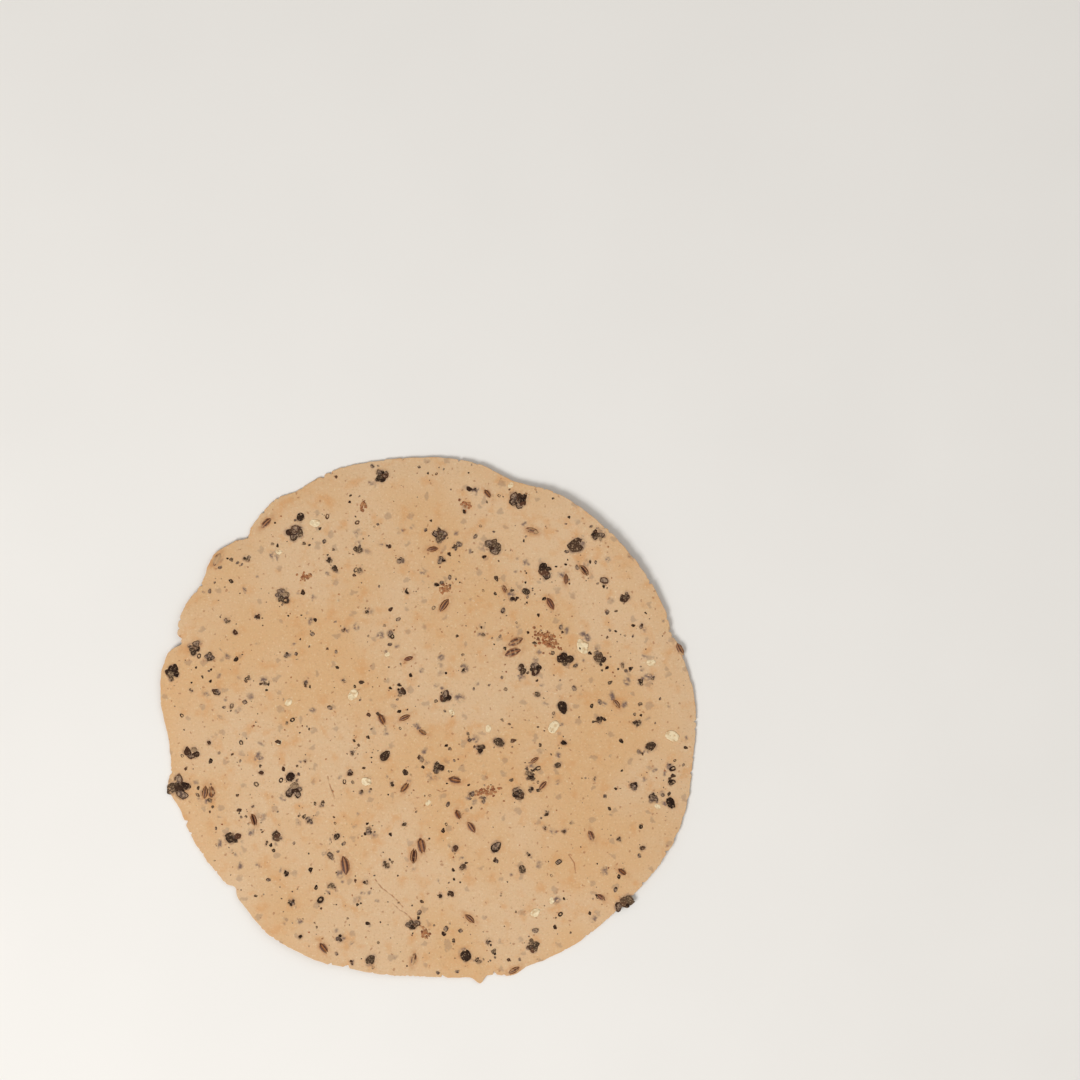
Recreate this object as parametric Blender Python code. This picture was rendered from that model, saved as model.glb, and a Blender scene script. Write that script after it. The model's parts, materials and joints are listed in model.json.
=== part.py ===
"""One raw sindhi papadum: a thin, sun-dried disc of urad dal dough, rolled out by hand.

Cracked black pepper, cumin seeds and pale chips of pepper heart and dal lie half sunk in its
upper face, and are fused to it, so the whole is one solid.

Frame: +Z up, with the disc lying on its underside. The origin is under the middle of the
bounding box, on the surface that the disc rests on.
"""

import math
import random
from typing import NamedTuple

import bmesh
import bpy
from mathutils import Matrix, Vector, noise

MM = 0.001

# The sheet of dough
EDGE_RADIUS = 85.6 * MM
BODY_THICKNESS = 0.9 * MM
RIM_THICKNESS = 0.6 * MM
RIM_TAPER = 6.0 * MM
FLAT_RADIUS = 42.0 * MM
RAGGED_DEPTH = 0.25 * MM
RAGGED_LENGTH = 3.0 * MM

# Lobes and nicks of the hand-rolled edge: heading in degrees, rise in mm, spread in degrees
EDGE_LOBES = (
    (334, 4.2, 14), (300, 2.2, 11), (288, 1.7, 1.8), (281, 2.4, 0.8), (267, -1.2, 6), (246, 1.0, 3),
    (235, 2.5, 6), (221, -1.6, 0.9), (205, 1.4, 7), (195, 2.4, 2.5), (178, 1.2, 3), (170, 3.5, 5),
    (163, -2.4, 1.0), (156, 2.7, 4), (143, 3.2, 3.6), (135, -1.6, 1.2), (126, 2.1, 4),
    (120, -0.7, 1.5), (112, 1.7, 7), (94, 0.5, 12), (70, -2.6, 4.5), (20, -1.2, 2), (3, 1.7, 6),
)
# Where drying has lifted the rim: heading in degrees, lift in mm, spread in degrees
RIM_WAVES = ((48, 2.4, 24), (158, 1.5, 16), (247, 1.9, 20), (322, 1.1, 13))

# How finely the sheet is divided: rings from the middle to the rim, and how many of the outer
# ones are divided once more
RINGS = 16
FINE_RINGS = 1.5

# The pieces that catch the eye: x and y of the middle in mm, length in mm, heading in degrees
PEPPER_CHUNKS = (
    (-15, 80, 4.3, 30), (-44, 61.5, 5, 25), (3.5, 60.5, 5, -50), (-47.5, 40.5, 4.9, -70),
    (-76.5, 23.5, 4.5, 85), (-84.5, 15, 5.5, 60), (5.5, 7, 4.2, 20), (29.5, 71.5, 5.7, -20),
    (21.5, 57, 5.2, -35), (48.5, 57, 6, 30), (55.5, 60.5, 4.4, -20), (38.5, 48.5, 5.2, -55),
    (35, 16.5, 4.5, 40), (44.5, 19.5, 5.2, -15), (56, 20.5, 4.5, -55), (44, 4, 4.7, -60),
    (-78, -11, 5.8, -35), (-82, -22.5, 7.6, 80), (-44, -23.5, 5.3, 15), (-45.5, -19, 3.9, 50),
    (-14.5, -12, 4.2, 60), (-64.5, -39, 4.7, 15), (-19, -79, 4.2, 45), (33.5, -19, 4, -55),
    (29.5, -24.5, 4, -60), (73, -9, 4.2, 20), (22, -42, 4.2, 60), (12, -77.5, 5, -60),
    (64, -60.5, 5.7, 20), (34, -75, 4.2, -15), (79.5, -27.5, 4, -60), (3, -16, 3.8, 30),
    (-9, 9, 3.8, 60), (-50, -38.5, 3.9, 0), (-5, -67.5, 3.9, -20), (64.5, 40, 3.7, 40),
    (73.5, -25.5, 3.8, 60), (23, -7.5, 3.9, -30),
)
CUMIN_SEEDS = (
    (-53.5, 64.5, 4.8, 45), (-69.5, 52.5, 5.2, 62), (5, 37.5, 5.3, 55), (34, 62, 4.9, -20),
    (51, 49, 4.8, -50), (40, 38, 4.7, -60), (28.5, 25.5, 5.5, 25), (27.5, 22, 5.8, 20),
    (82.5, 23, 4.7, -62), (-73.5, -24, 4.5, 85), (-71.5, -24, 4.5, 95), (-57.5, -33, 4.5, -72),
    (-27.5, -48, 6.5, -80), (-5, -45, 5.5, 85), (-2.5, -41.5, 5.7, -78), (-34.5, -75, 4.5, -52),
    (8.5, -20, 4.7, -12), (28, -82.5, 4.4, 30), (-15.5, 0, 4.2, -65), (-8, 0.5, 4.2, 25),
    (14, -35.5, 4.4, -55), (-8, -22.5, 4.2, 50), (13.5, -65.5, 4.3, -42),
)
PALE_CHIPS = (
    (-37.5, 64.5, 3.7, 0), (-25, 8, 4.2, 60), (50.5, 24, 5.5, -60), (73, 18.5, 3.3, 0),
    (41, -2.5, 4.5, 60), (-20.5, -20.5, 3.9, -15), (35, -63.5, 3.8, 40), (80, -5.5, 4.8, -20),
)
# The smaller pieces, strewn at random: kind, how many, the longest and the shortest in mm
STREWN = (("cumin", 14, 4.4, 3.2), ("chip", 10, 3.0, 2.0), ("pepper", 96, 3.5, 1.5))
STREWN_SEED = 5
SHAPE_SEED = 11
CLEARANCE = 0.5 * MM

# Width and height of a piece as shares of its length, and the most that it is high
PROPORTIONS = {"pepper": (0.78, 0.5), "cumin": (0.44, 0.3), "chip": (0.72, 0.28)}
TALLEST = 1.1 * MM
# How far the middle of a piece lies under the upper face, and how much dough stays under it
SINK = 0.12 * MM
DOUGH_UNDER_A_PIECE = 0.1 * MM

# The least and the greatest share of its radius that a corner of a piece is moved to
PEPPER_CORNERS = (0.8, 1.1)
CHIP_CORNERS = (0.8, 1.05)
CUMIN_BOW = 0.12
CHIP_TOP_RADIUS = 0.4

# Edges sharper than this many degrees are drawn sharp
SHARP_FROM = 25

# Linear red, green and blue, then roughness
FINISHES = {
    "dough": ((0.655, 0.423, 0.231), 0.62),
    "pepper": ((0.038, 0.030, 0.027), 0.55),
    "cumin": ((0.235, 0.105, 0.045), 0.6),
    "chip": ((0.80, 0.66, 0.42), 0.5),
}


class Piece(NamedTuple):
    """One piece of pepper, cumin or chip, seen from above."""

    kind: str
    x: float
    y: float
    length: float
    heading: float


def clear_scene():
    """Removes the objects that Blender starts with."""
    for obj in list(bpy.data.objects):
        bpy.data.objects.remove(obj)


def smooth_step(share):
    """0 to 1 with level ends, from a share that is held between 0 and 1."""
    share = min(1.0, max(0.0, share))
    return share * share * (3 - 2 * share)


def bells(heading, rows):
    """Sum of smooth bells round the disc, each given as heading, height in mm and spread."""
    total = 0.0
    for middle, height, spread in rows:
        away = (heading - middle + 180) % 360 - 180
        total += height * MM * math.exp(-0.5 * (away / spread) ** 2)
    return total


def edge_radius(heading):
    """Radius of the edge at a heading in degrees, with its lobes, nicks and ragged line."""
    turn = math.radians(heading)
    walk = EDGE_RADIUS / RAGGED_LENGTH
    ragged = noise.noise(Vector((math.cos(turn) * walk, math.sin(turn) * walk, 0)))
    return EDGE_RADIUS + bells(heading, EDGE_LOBES) + RAGGED_DEPTH * ragged


def underside(x, y):
    """Height of the underside: flat in the middle, and lifted in waves towards the rim."""
    climb = max(0.0, (math.hypot(x, y) - FLAT_RADIUS) / (EDGE_RADIUS - FLAT_RADIUS))
    return climb * climb * bells(math.degrees(math.atan2(y, x)), RIM_WAVES)


def thickness(x, y):
    """Thickness of the dough, which thins towards the edge."""
    inward = edge_radius(math.degrees(math.atan2(y, x))) - math.hypot(x, y)
    return RIM_THICKNESS + (BODY_THICKNESS - RIM_THICKNESS) * smooth_step(inward / RIM_TAPER)


def top_height(x, y):
    """Height of the upper face."""
    return underside(x, y) + thickness(x, y)


def top_normal(x, y):
    """Unit vector square to the upper face."""
    step = 0.5 * MM
    slope_x = (top_height(x + step, y) - top_height(x - step, y)) / (2 * step)
    slope_y = (top_height(x, y + step) - top_height(x, y - step)) / (2 * step)
    return Vector((-slope_x, -slope_y, 1)).normalized()


def ring_share(point):
    """How far out a point of the unit hexagon is: 0 in the middle, 1 on its sides."""
    reaches = []
    for side in range(6):
        turn = math.radians(60 * side)
        reaches.append(point.x * math.cos(turn) + point.y * math.sin(turn))
    return max(reaches) / math.cos(math.radians(30))


def to_disc(point, level):
    """Moves a point of the hexagon to its place on the sheet's underside (0) or top (1)."""
    heading = math.atan2(point.y, point.x)
    reach = ring_share(point) * edge_radius(math.degrees(heading))
    x, y = reach * math.cos(heading), reach * math.sin(heading)
    return Vector((x, y, underside(x, y) + level * thickness(x, y)))


def dough_sheet():
    """The sheet: a hexagon of even triangles, stretched to the edge and given its thickness."""
    mesh = bmesh.new()
    bmesh.ops.create_circle(mesh, cap_ends=True, cap_tris=True, segments=6, radius=1.0)
    bmesh.ops.subdivide_edges(mesh, edges=mesh.edges[:], cuts=RINGS - 1, use_grid_fill=True)
    outer = 1 - FINE_RINGS / RINGS
    rim = [e for e in mesh.edges if min(ring_share(v.co) for v in e.verts) > outer]
    bmesh.ops.subdivide_edges(mesh, edges=rim, cuts=1)
    bmesh.ops.triangulate(mesh, faces=mesh.faces[:])
    raised = bmesh.ops.extrude_face_region(mesh, geom=mesh.faces[:])["geom"]
    top = {item for item in raised if isinstance(item, bmesh.types.BMVert)}
    for vertex in mesh.verts:
        vertex.co = to_disc(vertex.co, 1 if vertex in top else 0)
    bmesh.ops.triangulate(mesh, faces=mesh.faces[:])
    bmesh.ops.recalc_face_normals(mesh, faces=mesh.faces[:])
    return to_object(mesh, "papadum", "dough")


def to_object(mesh, name, finish):
    """Puts a bmesh into a new object of that name and finish."""
    data = bpy.data.meshes.new(name)
    mesh.to_mesh(data)
    mesh.free()
    data.materials.append(material(finish))
    obj = bpy.data.objects.new(name, data)
    bpy.context.scene.collection.objects.link(obj)
    return obj


def material(finish):
    """The Principled material of a finish, made once."""
    found = bpy.data.materials.get(finish)
    if found:
        return found
    colour, roughness = FINISHES[finish]
    made = bpy.data.materials.new(finish)
    made.use_nodes = True
    shader = made.node_tree.nodes["Principled BSDF"]
    shader.inputs["Base Color"].default_value = (*colour, 1)
    shader.inputs["Roughness"].default_value = roughness
    shader.inputs["Metallic"].default_value = 0
    return made


def chosen_pieces():
    """The pieces whose places are set by hand."""
    rows = (("pepper", PEPPER_CHUNKS), ("cumin", CUMIN_SEEDS), ("chip", PALE_CHIPS))
    return [
        Piece(kind, x * MM, y * MM, length * MM, heading)
        for kind, places in rows
        for x, y, length, heading in places
    ]


def find_room(rng, pieces, kind, length):
    """A piece of that kind and length, at a random place clear of the others and of the rim."""
    while True:
        reach = (EDGE_RADIUS - length) * math.sqrt(rng.random())
        turn = rng.uniform(0, math.tau)
        heading = rng.uniform(-90, 90)
        x, y = reach * math.cos(turn), reach * math.sin(turn)
        gaps = (math.hypot(x - p.x, y - p.y) - (length + p.length) / 2 for p in pieces)
        if min(gaps) > CLEARANCE:
            return Piece(kind, x, y, length, heading)


def all_pieces():
    """The chosen pieces and the strewn ones, of which the small outnumber the large."""
    rng = random.Random(STREWN_SEED)
    pieces = chosen_pieces()
    for kind, count, longest, shortest in STREWN:
        for step in range(count):
            length = (longest + (shortest - longest) * math.sqrt(step / count)) * MM
            pieces.append(find_room(rng, pieces, kind, length))
    return pieces


def pepper_form(rng):
    """A broken bit of peppercorn, one unit long: a lump with uneven corners."""
    mesh = bmesh.new()
    bmesh.ops.create_icosphere(mesh, subdivisions=1, radius=0.5)
    for vertex in mesh.verts:
        vertex.co *= rng.uniform(*PEPPER_CORNERS)
    return mesh


def cumin_form(rng):
    """A cumin seed, one unit long: a spindle with six ridges that ends in points."""
    mesh = bmesh.new()
    bmesh.ops.create_uvsphere(mesh, u_segments=6, v_segments=4, radius=0.5)
    bmesh.ops.rotate(mesh, matrix=Matrix.Rotation(math.radians(90), 3, "Y"), verts=mesh.verts)
    bow = rng.uniform(-CUMIN_BOW, CUMIN_BOW)
    for vertex in mesh.verts:
        vertex.co.y += bow * (1 - (2 * vertex.co.x) ** 2)
    return mesh


def chip_form(rng):
    """A pale flake, one unit across: a low slab with a broken outline."""
    mesh = bmesh.new()
    bmesh.ops.create_cone(
        mesh, cap_ends=True, cap_tris=True, segments=7, radius1=0.5, radius2=CHIP_TOP_RADIUS, depth=1
    )
    for vertex in mesh.verts:
        vertex.co.xy *= rng.uniform(*CHIP_CORNERS)
    return mesh


FORMS = {"pepper": pepper_form, "cumin": cumin_form, "chip": chip_form}


def piece_object(piece, number, rng):
    """One piece, at its size and place: level with the dough round it, and half sunk in it."""
    wide, high = PROPORTIONS[piece.kind]
    room = 2 * (thickness(piece.x, piece.y) - SINK - DOUGH_UNDER_A_PIECE)
    height = min(high * piece.length, TALLEST, room / PEPPER_CORNERS[1])
    obj = to_object(FORMS[piece.kind](rng), f"{piece.kind}_{number:03d}", piece.kind)
    obj.data.transform(Matrix.Diagonal((piece.length, wide * piece.length, height, 1)))
    tilt = Vector((0, 0, 1)).rotation_difference(top_normal(piece.x, piece.y))
    turn = Matrix.Rotation(math.radians(piece.heading), 4, "Z")
    place = Matrix.Translation((piece.x, piece.y, top_height(piece.x, piece.y) - SINK))
    obj.matrix_world = place @ tilt.to_matrix().to_4x4() @ turn
    return obj


def fuse(sheet, objects):
    """Joins the pieces to the sheet in one Boolean union, then removes them."""
    group = bpy.data.collections.new("pieces")
    for obj in objects:
        group.objects.link(obj)
    union = sheet.modifiers.new("fuse", "BOOLEAN")
    union.operation = "UNION"
    union.operand_type = "COLLECTION"
    union.collection = group
    union.solver = "EXACT"
    union.material_mode = "TRANSFER"
    bpy.context.view_layer.objects.active = sheet
    bpy.ops.object.modifier_apply(modifier=union.name)
    for obj in objects:
        bpy.data.objects.remove(obj)
    bpy.data.collections.remove(group)


def stand_on_origin(obj):
    """Moves the mesh so that the origin is under the middle of its bounding box."""
    corners = [Vector(corner) for corner in obj.bound_box]
    low = Vector(min(c[axis] for c in corners) for axis in range(3))
    high = Vector(max(c[axis] for c in corners) for axis in range(3))
    obj.data.transform(Matrix.Translation((-(low.x + high.x) / 2, -(low.y + high.y) / 2, -low.z)))


def main():
    """Builds the papadum."""
    clear_scene()
    sheet = dough_sheet()
    rng = random.Random(SHAPE_SEED)
    pieces = [piece_object(piece, n, rng) for n, piece in enumerate(all_pieces())]
    fuse(sheet, pieces)
    stand_on_origin(sheet)
    sheet.data.shade_smooth()
    sheet.data.set_sharp_from_angle(angle=math.radians(SHARP_FROM))


main()
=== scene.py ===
"""The looks of one raw sindhi papadum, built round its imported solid.

A papadum is a sheet of urad dal dough, rolled thin by hand and dried in the sun, with cracked
black pepper, cumin and pale chips of dal worked into it. The sheet and each kind of piece are
modelled here by the same placing rule as the solid, in metres, +Z up, X right and Y up in the
photograph.
"""

import json
import logging
import math
import random
from collections.abc import Callable, Iterator, Sequence
from contextlib import contextmanager
from dataclasses import dataclass
from enum import Enum
from typing import NamedTuple

import bmesh
import bpy
import numpy as np
from mathutils import Matrix, Vector, noise

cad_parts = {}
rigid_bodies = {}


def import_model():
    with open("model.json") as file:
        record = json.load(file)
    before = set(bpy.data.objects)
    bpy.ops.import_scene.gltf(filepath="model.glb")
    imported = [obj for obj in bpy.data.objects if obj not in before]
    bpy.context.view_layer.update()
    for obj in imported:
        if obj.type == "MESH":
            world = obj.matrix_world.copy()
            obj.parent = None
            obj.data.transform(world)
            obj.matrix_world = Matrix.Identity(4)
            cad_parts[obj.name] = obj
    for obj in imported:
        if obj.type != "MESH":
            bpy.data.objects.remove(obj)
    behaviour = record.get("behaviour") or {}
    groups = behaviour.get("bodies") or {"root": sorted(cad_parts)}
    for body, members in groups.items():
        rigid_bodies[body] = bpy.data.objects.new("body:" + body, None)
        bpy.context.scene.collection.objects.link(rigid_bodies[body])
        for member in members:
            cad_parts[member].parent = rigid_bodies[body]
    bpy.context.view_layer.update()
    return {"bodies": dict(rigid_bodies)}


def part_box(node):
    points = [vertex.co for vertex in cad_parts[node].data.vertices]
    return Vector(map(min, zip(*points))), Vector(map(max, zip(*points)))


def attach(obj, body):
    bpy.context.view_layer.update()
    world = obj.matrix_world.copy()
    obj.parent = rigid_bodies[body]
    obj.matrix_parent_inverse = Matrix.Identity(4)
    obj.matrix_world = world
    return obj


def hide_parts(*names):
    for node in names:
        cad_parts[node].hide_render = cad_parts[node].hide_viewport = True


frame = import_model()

MM = 0.001
BODY = next(iter(frame["bodies"]))
NODE = "papadum"
LOG = logging.getLogger("papadum")

# The pieces that catch the eye: x and y of the middle in mm, length in mm, heading in degrees
PEPPER_CHUNKS = (
    (-15, 80, 4.3, 30), (-44, 61.5, 5, 25), (3.5, 60.5, 5, -50), (-47.5, 40.5, 4.9, -70),
    (-76.5, 23.5, 4.5, 85), (-84.5, 15, 5.5, 60), (5.5, 7, 4.2, 20), (29.5, 71.5, 5.7, -20),
    (21.5, 57, 5.2, -35), (48.5, 57, 6, 30), (55.5, 60.5, 4.4, -20), (38.5, 48.5, 5.2, -55),
    (35, 16.5, 4.5, 40), (44.5, 19.5, 5.2, -15), (56, 20.5, 4.5, -55), (44, 4, 4.7, -60),
    (-78, -11, 5.8, -35), (-82, -22.5, 7.6, 80), (-44, -23.5, 5.3, 15), (-45.5, -19, 3.9, 50),
    (-14.5, -12, 4.2, 60), (-64.5, -39, 4.7, 15), (-19, -79, 4.2, 45), (33.5, -19, 4, -55),
    (29.5, -24.5, 4, -60), (73, -9, 4.2, 20), (22, -42, 4.2, 60), (12, -77.5, 5, -60),
    (64, -60.5, 5.7, 20), (34, -75, 4.2, -15), (79.5, -27.5, 4, -60), (3, -16, 3.8, 30),
    (-9, 9, 3.8, 60), (-50, -38.5, 3.9, 0), (-5, -67.5, 3.9, -20), (64.5, 40, 3.7, 40),
    (73.5, -25.5, 3.8, 60), (23, -7.5, 3.9, -30),
)
CUMIN_SEEDS = (
    (-53.5, 64.5, 4.8, 45), (-69.5, 52.5, 5.2, 62), (5, 37.5, 5.3, 55), (34, 62, 4.9, -20),
    (51, 49, 4.8, -50), (40, 38, 4.7, -60), (28.5, 25.5, 5.5, 25), (27.5, 22, 5.8, 20),
    (82.5, 23, 4.7, -62), (-73.5, -24, 4.5, 85), (-71.5, -24, 4.5, 95), (-57.5, -33, 4.5, -72),
    (-27.5, -48, 6.5, -80), (-5, -45, 5.5, 85), (-2.5, -41.5, 5.7, -78), (-34.5, -75, 4.5, -52),
    (8.5, -20, 4.7, -12), (28, -82.5, 4.4, 30), (-15.5, 0, 4.2, -65), (-8, 0.5, 4.2, 25),
    (14, -35.5, 4.4, -55), (-8, -22.5, 4.2, 50), (13.5, -65.5, 4.3, -42),
)
PALE_CHIPS = (
    (-37.5, 64.5, 3.7, 0), (-25, 8, 4.2, 60), (50.5, 24, 5.5, -60), (73, 18.5, 3.3, 0),
    (41, -2.5, 4.5, 60), (-20.5, -20.5, 3.9, -15), (35, -63.5, 3.8, 40), (80, -5.5, 4.8, -20),
)
# Seeds that were crushed where they lie: x, y, length and width of the patch in mm, heading
CRUSHED_SEEDS = (
    (39, 26, 10.5, 5.5, -35), (-40.5, 47, 5, 2.5, 20), (-21.5, 70.5, 4, 2.5, 60),
    (12, 70.5, 4, 2, -30), (5.5, 43, 4.5, 3, 40), (19, -24, 8, 3, 10), (-1, -70.5, 4.5, 2.2, -62),
)
# Fine cracks and creases of the dried dough, each as points along it in mm
CREASES = (
    ((-17.6, -52.6), (-15.5, -55.3), (-12.5, -57.5), (-10.6, -59.2), (-8.5, -61.6)),
    ((-11.7, -60.4), (-9.5, -62.6), (-8.4, -63.1), (-6.8, -64.3), (-5.6, -65.8)),
    ((-3.4, -67.3), (-2.4, -68.0), (-1.6, -69.3)),
    ((-33.2, -18.8), (-32.4, -22.0), (-30.9, -26.0)),
    ((2.6, -23.2), (4.2, -23.8), (5.8, -23.4)),
    ((46.0, -44.5), (47.8, -47.2), (48.2, -50.4)),
)

# Numbers of the colour sockets of Blender's mix node
FACTOR, FIRST, SECOND, MIXED = 0, 6, 7, 2

Rows = Sequence[tuple[float, float, float]]
Rule = Callable[[np.ndarray, np.ndarray], np.ndarray]
Socket = bpy.types.NodeSocket


class Kind(Enum):
    """What lies in the dough, with width and height as shares of the length."""

    PEPPER = (0.78, 0.5)
    CUMIN = (0.44, 0.3)
    CHIP = (0.72, 0.28)

    def __init__(self, wide: float, high: float) -> None:
        """Names the two shares."""
        self.wide, self.high = wide, high


class Break(Enum):
    """How the mortar broke a peppercorn: sides struck off it, and whether its top is gone."""

    ROUND = (1, False)
    WEDGE = (3, False)
    SHARD = (4, False)
    OPEN = (2, True)


class Layer(Enum):
    """Where in the endless noise each pattern is taken, so that no two are alike."""

    RAGGED = 0.0
    SWELL = 1.7
    TORN = 3.1
    DIMPLE = 4.2
    PATCHES = 5.5
    NICKS = 6.1
    FRAY = 7.7
    FINE_FRAY = 9.3


class Grade(NamedTuple):
    """How pepper above one length is modelled: its skin's cuts, its wrinkles' size, how bare it is."""

    above: float
    cuts: int
    wrinkle: float
    bare: float


class Batch(NamedTuple):
    """Bits to strew: how many, how long, their seed, and the share that lies by larger pieces."""

    count: int
    longest: float
    shortest: float
    seed: int = 0
    flock: float = 0.0

    def length(self, step: int) -> float:
        """Length of one of the bits, of which the small outnumber the large."""
        return self.longest + (self.shortest - self.longest) * math.sqrt(step / self.count)


class Copy(NamedTuple):
    """One copy of a master: where it goes, how thickly dough veils it, and how pale it is."""

    master: bpy.types.Object
    place: Matrix
    veil: float
    shade: float


class Piece(NamedTuple):
    """One piece in the dough, seen from above."""

    kind: Kind
    x: float
    y: float
    length: float
    heading: float


def smooth_step(share: np.ndarray | float) -> np.ndarray:
    """0 to 1 with level ends, from a share that is held between 0 and 1."""
    share = np.clip(share, 0.0, 1.0)
    return share * share * (3 - 2 * share)


def bells(heading: np.ndarray, rows: Rows) -> np.ndarray:
    """Adds up smooth bells round the disc.

    Args:
        heading: headings in degrees.
        rows: for each bell its heading, its height in mm and its spread in degrees.

    Returns:
        The sum at each heading, in metres.
    """
    total = np.zeros_like(heading, dtype=float)
    for middle, height, spread in rows:
        away = (heading - middle + 180) % 360 - 180
        total += height * MM * np.exp(-0.5 * (away / spread) ** 2)
    return total


def noise_at(x: np.ndarray, y: np.ndarray, size: float, layer: Layer) -> np.ndarray:
    """Smooth noise at points of the disc.

    Args:
        x: the points' x in metres.
        y: their y.
        size: the size of the noise's lumps in metres.
        layer: which pattern it is.

    Returns:
        A value between about -1 and 1 for each point.
    """
    depth = layer.value
    return np.array([noise.noise(Vector((a, b, depth))) for a, b in zip(x / size, y / size)])


def round_disc(reach: np.ndarray | float, heading: np.ndarray) -> tuple[np.ndarray, np.ndarray]:
    """x and y of points at distances from the middle, at headings in degrees."""
    turn = np.radians(heading)
    return reach * np.cos(turn), reach * np.sin(turn)


def at_spot(rule: Rule, x: float, y: float) -> float:
    """What a rule for many points gives at a single one."""
    return float(rule(np.array([x]), np.array([y]))[0])


def step_from(x: float, y: float, along: float, across: float, heading: float) -> tuple[float, float]:
    """Steps from one point to another.

    Args:
        x: the first point's x.
        y: its y.
        along: how far to step along the heading.
        across: how far to step to the left of it.
        heading: the heading in degrees.

    Returns:
        x and y of the second point.
    """
    turn = math.radians(heading)
    return (
        x + along * math.cos(turn) - across * math.sin(turn),
        y + along * math.sin(turn) + across * math.cos(turn),
    )


def near_middle(x: np.ndarray, y: np.ndarray, piece: Piece, reach: float) -> np.ndarray:
    """Numbers of the points that lie within reach of a piece's middle, both in x and in y."""
    return np.flatnonzero((np.abs(x - piece.x) < reach) & (np.abs(y - piece.y) < reach))


@dataclass(frozen=True)
class Disc:
    """The form of the sheet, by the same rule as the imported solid."""

    radius: float = 85.6 * MM
    body: float = 0.9 * MM
    rim: float = 0.6 * MM
    taper: float = 6.0 * MM
    flat: float = 42.0 * MM
    ragged_depth: float = 0.25 * MM
    ragged_length: float = 3.0 * MM
    # Lobes and nicks of the hand-rolled edge: heading in degrees, rise in mm, spread in degrees
    lobes: Rows = (
        (334, 4.2, 14), (300, 2.2, 11), (288, 1.7, 1.8), (281, 2.4, 0.8), (267, -1.2, 6),
        (246, 1.0, 3), (235, 2.5, 6), (221, -1.6, 0.9), (205, 1.4, 7), (195, 2.4, 2.5),
        (178, 1.2, 3), (170, 3.5, 5), (163, -2.4, 1.0), (156, 2.7, 4), (143, 3.2, 3.6),
        (135, -1.6, 1.2), (126, 2.1, 4), (120, -0.7, 1.5), (112, 1.7, 7), (94, 0.5, 12),
        (70, -2.6, 4.5), (20, -1.2, 2), (3, 1.7, 6),
    )
    # Where drying has lifted the rim: heading in degrees, lift in mm, spread in degrees
    waves: Rows = ((48, 2.4, 24), (158, 1.5, 16), (247, 1.9, 20), (322, 1.1, 13))

    def edge(self, heading: np.ndarray) -> np.ndarray:
        """Radius of the edge at headings in degrees."""
        ragged = noise_at(*round_disc(self.radius, heading), self.ragged_length, Layer.RAGGED)
        return self.radius + bells(heading, self.lobes) + self.ragged_depth * ragged

    def underside(self, x: np.ndarray, y: np.ndarray) -> np.ndarray:
        """Height of the underside: flat in the middle, lifted in waves towards the rim."""
        climb = np.maximum(0.0, (np.hypot(x, y) - self.flat) / (self.radius - self.flat))
        return climb * climb * bells(np.degrees(np.arctan2(y, x)), self.waves)

    def inward(self, x: np.ndarray, y: np.ndarray) -> np.ndarray:
        """How far points lie inside the edge."""
        return self.edge(np.degrees(np.arctan2(y, x))) - np.hypot(x, y)

    def thickness(self, x: np.ndarray, y: np.ndarray) -> np.ndarray:
        """Thickness of the dough, which thins towards the edge."""
        return self.rim + (self.body - self.rim) * smooth_step(self.inward(x, y) / self.taper)

    def top(self, x: np.ndarray, y: np.ndarray) -> np.ndarray:
        """Height of the upper face."""
        return self.underside(x, y) + self.thickness(x, y)

    def upward(self, x: float, y: float) -> Vector:
        """Unit vector square to the upper face at one point.

        Args:
            x: the point's x.
            y: its y.

        Returns:
            The vector.
        """
        step = 0.5 * MM
        heights = self.top(np.array([x + step, x - step, x, x]), np.array([y, y, y + step, y - step]))
        slope_x = (heights[0] - heights[1]) / (2 * step)
        slope_y = (heights[2] - heights[3]) / (2 * step)
        return Vector((-slope_x, -slope_y, 1)).normalized()

    def shift(self) -> Vector:
        """From the disc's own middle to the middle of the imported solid's box.

        Returns:
            The step that every piece is moved by.
        """
        heading = np.arange(0, 360, 0.25)
        x, y = round_disc(self.edge(heading), heading)
        low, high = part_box(NODE)
        middle = (low + high) / 2
        return Vector((middle.x - (x.max() + x.min()) / 2, middle.y - (y.max() + y.min()) / 2, 0))


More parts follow.
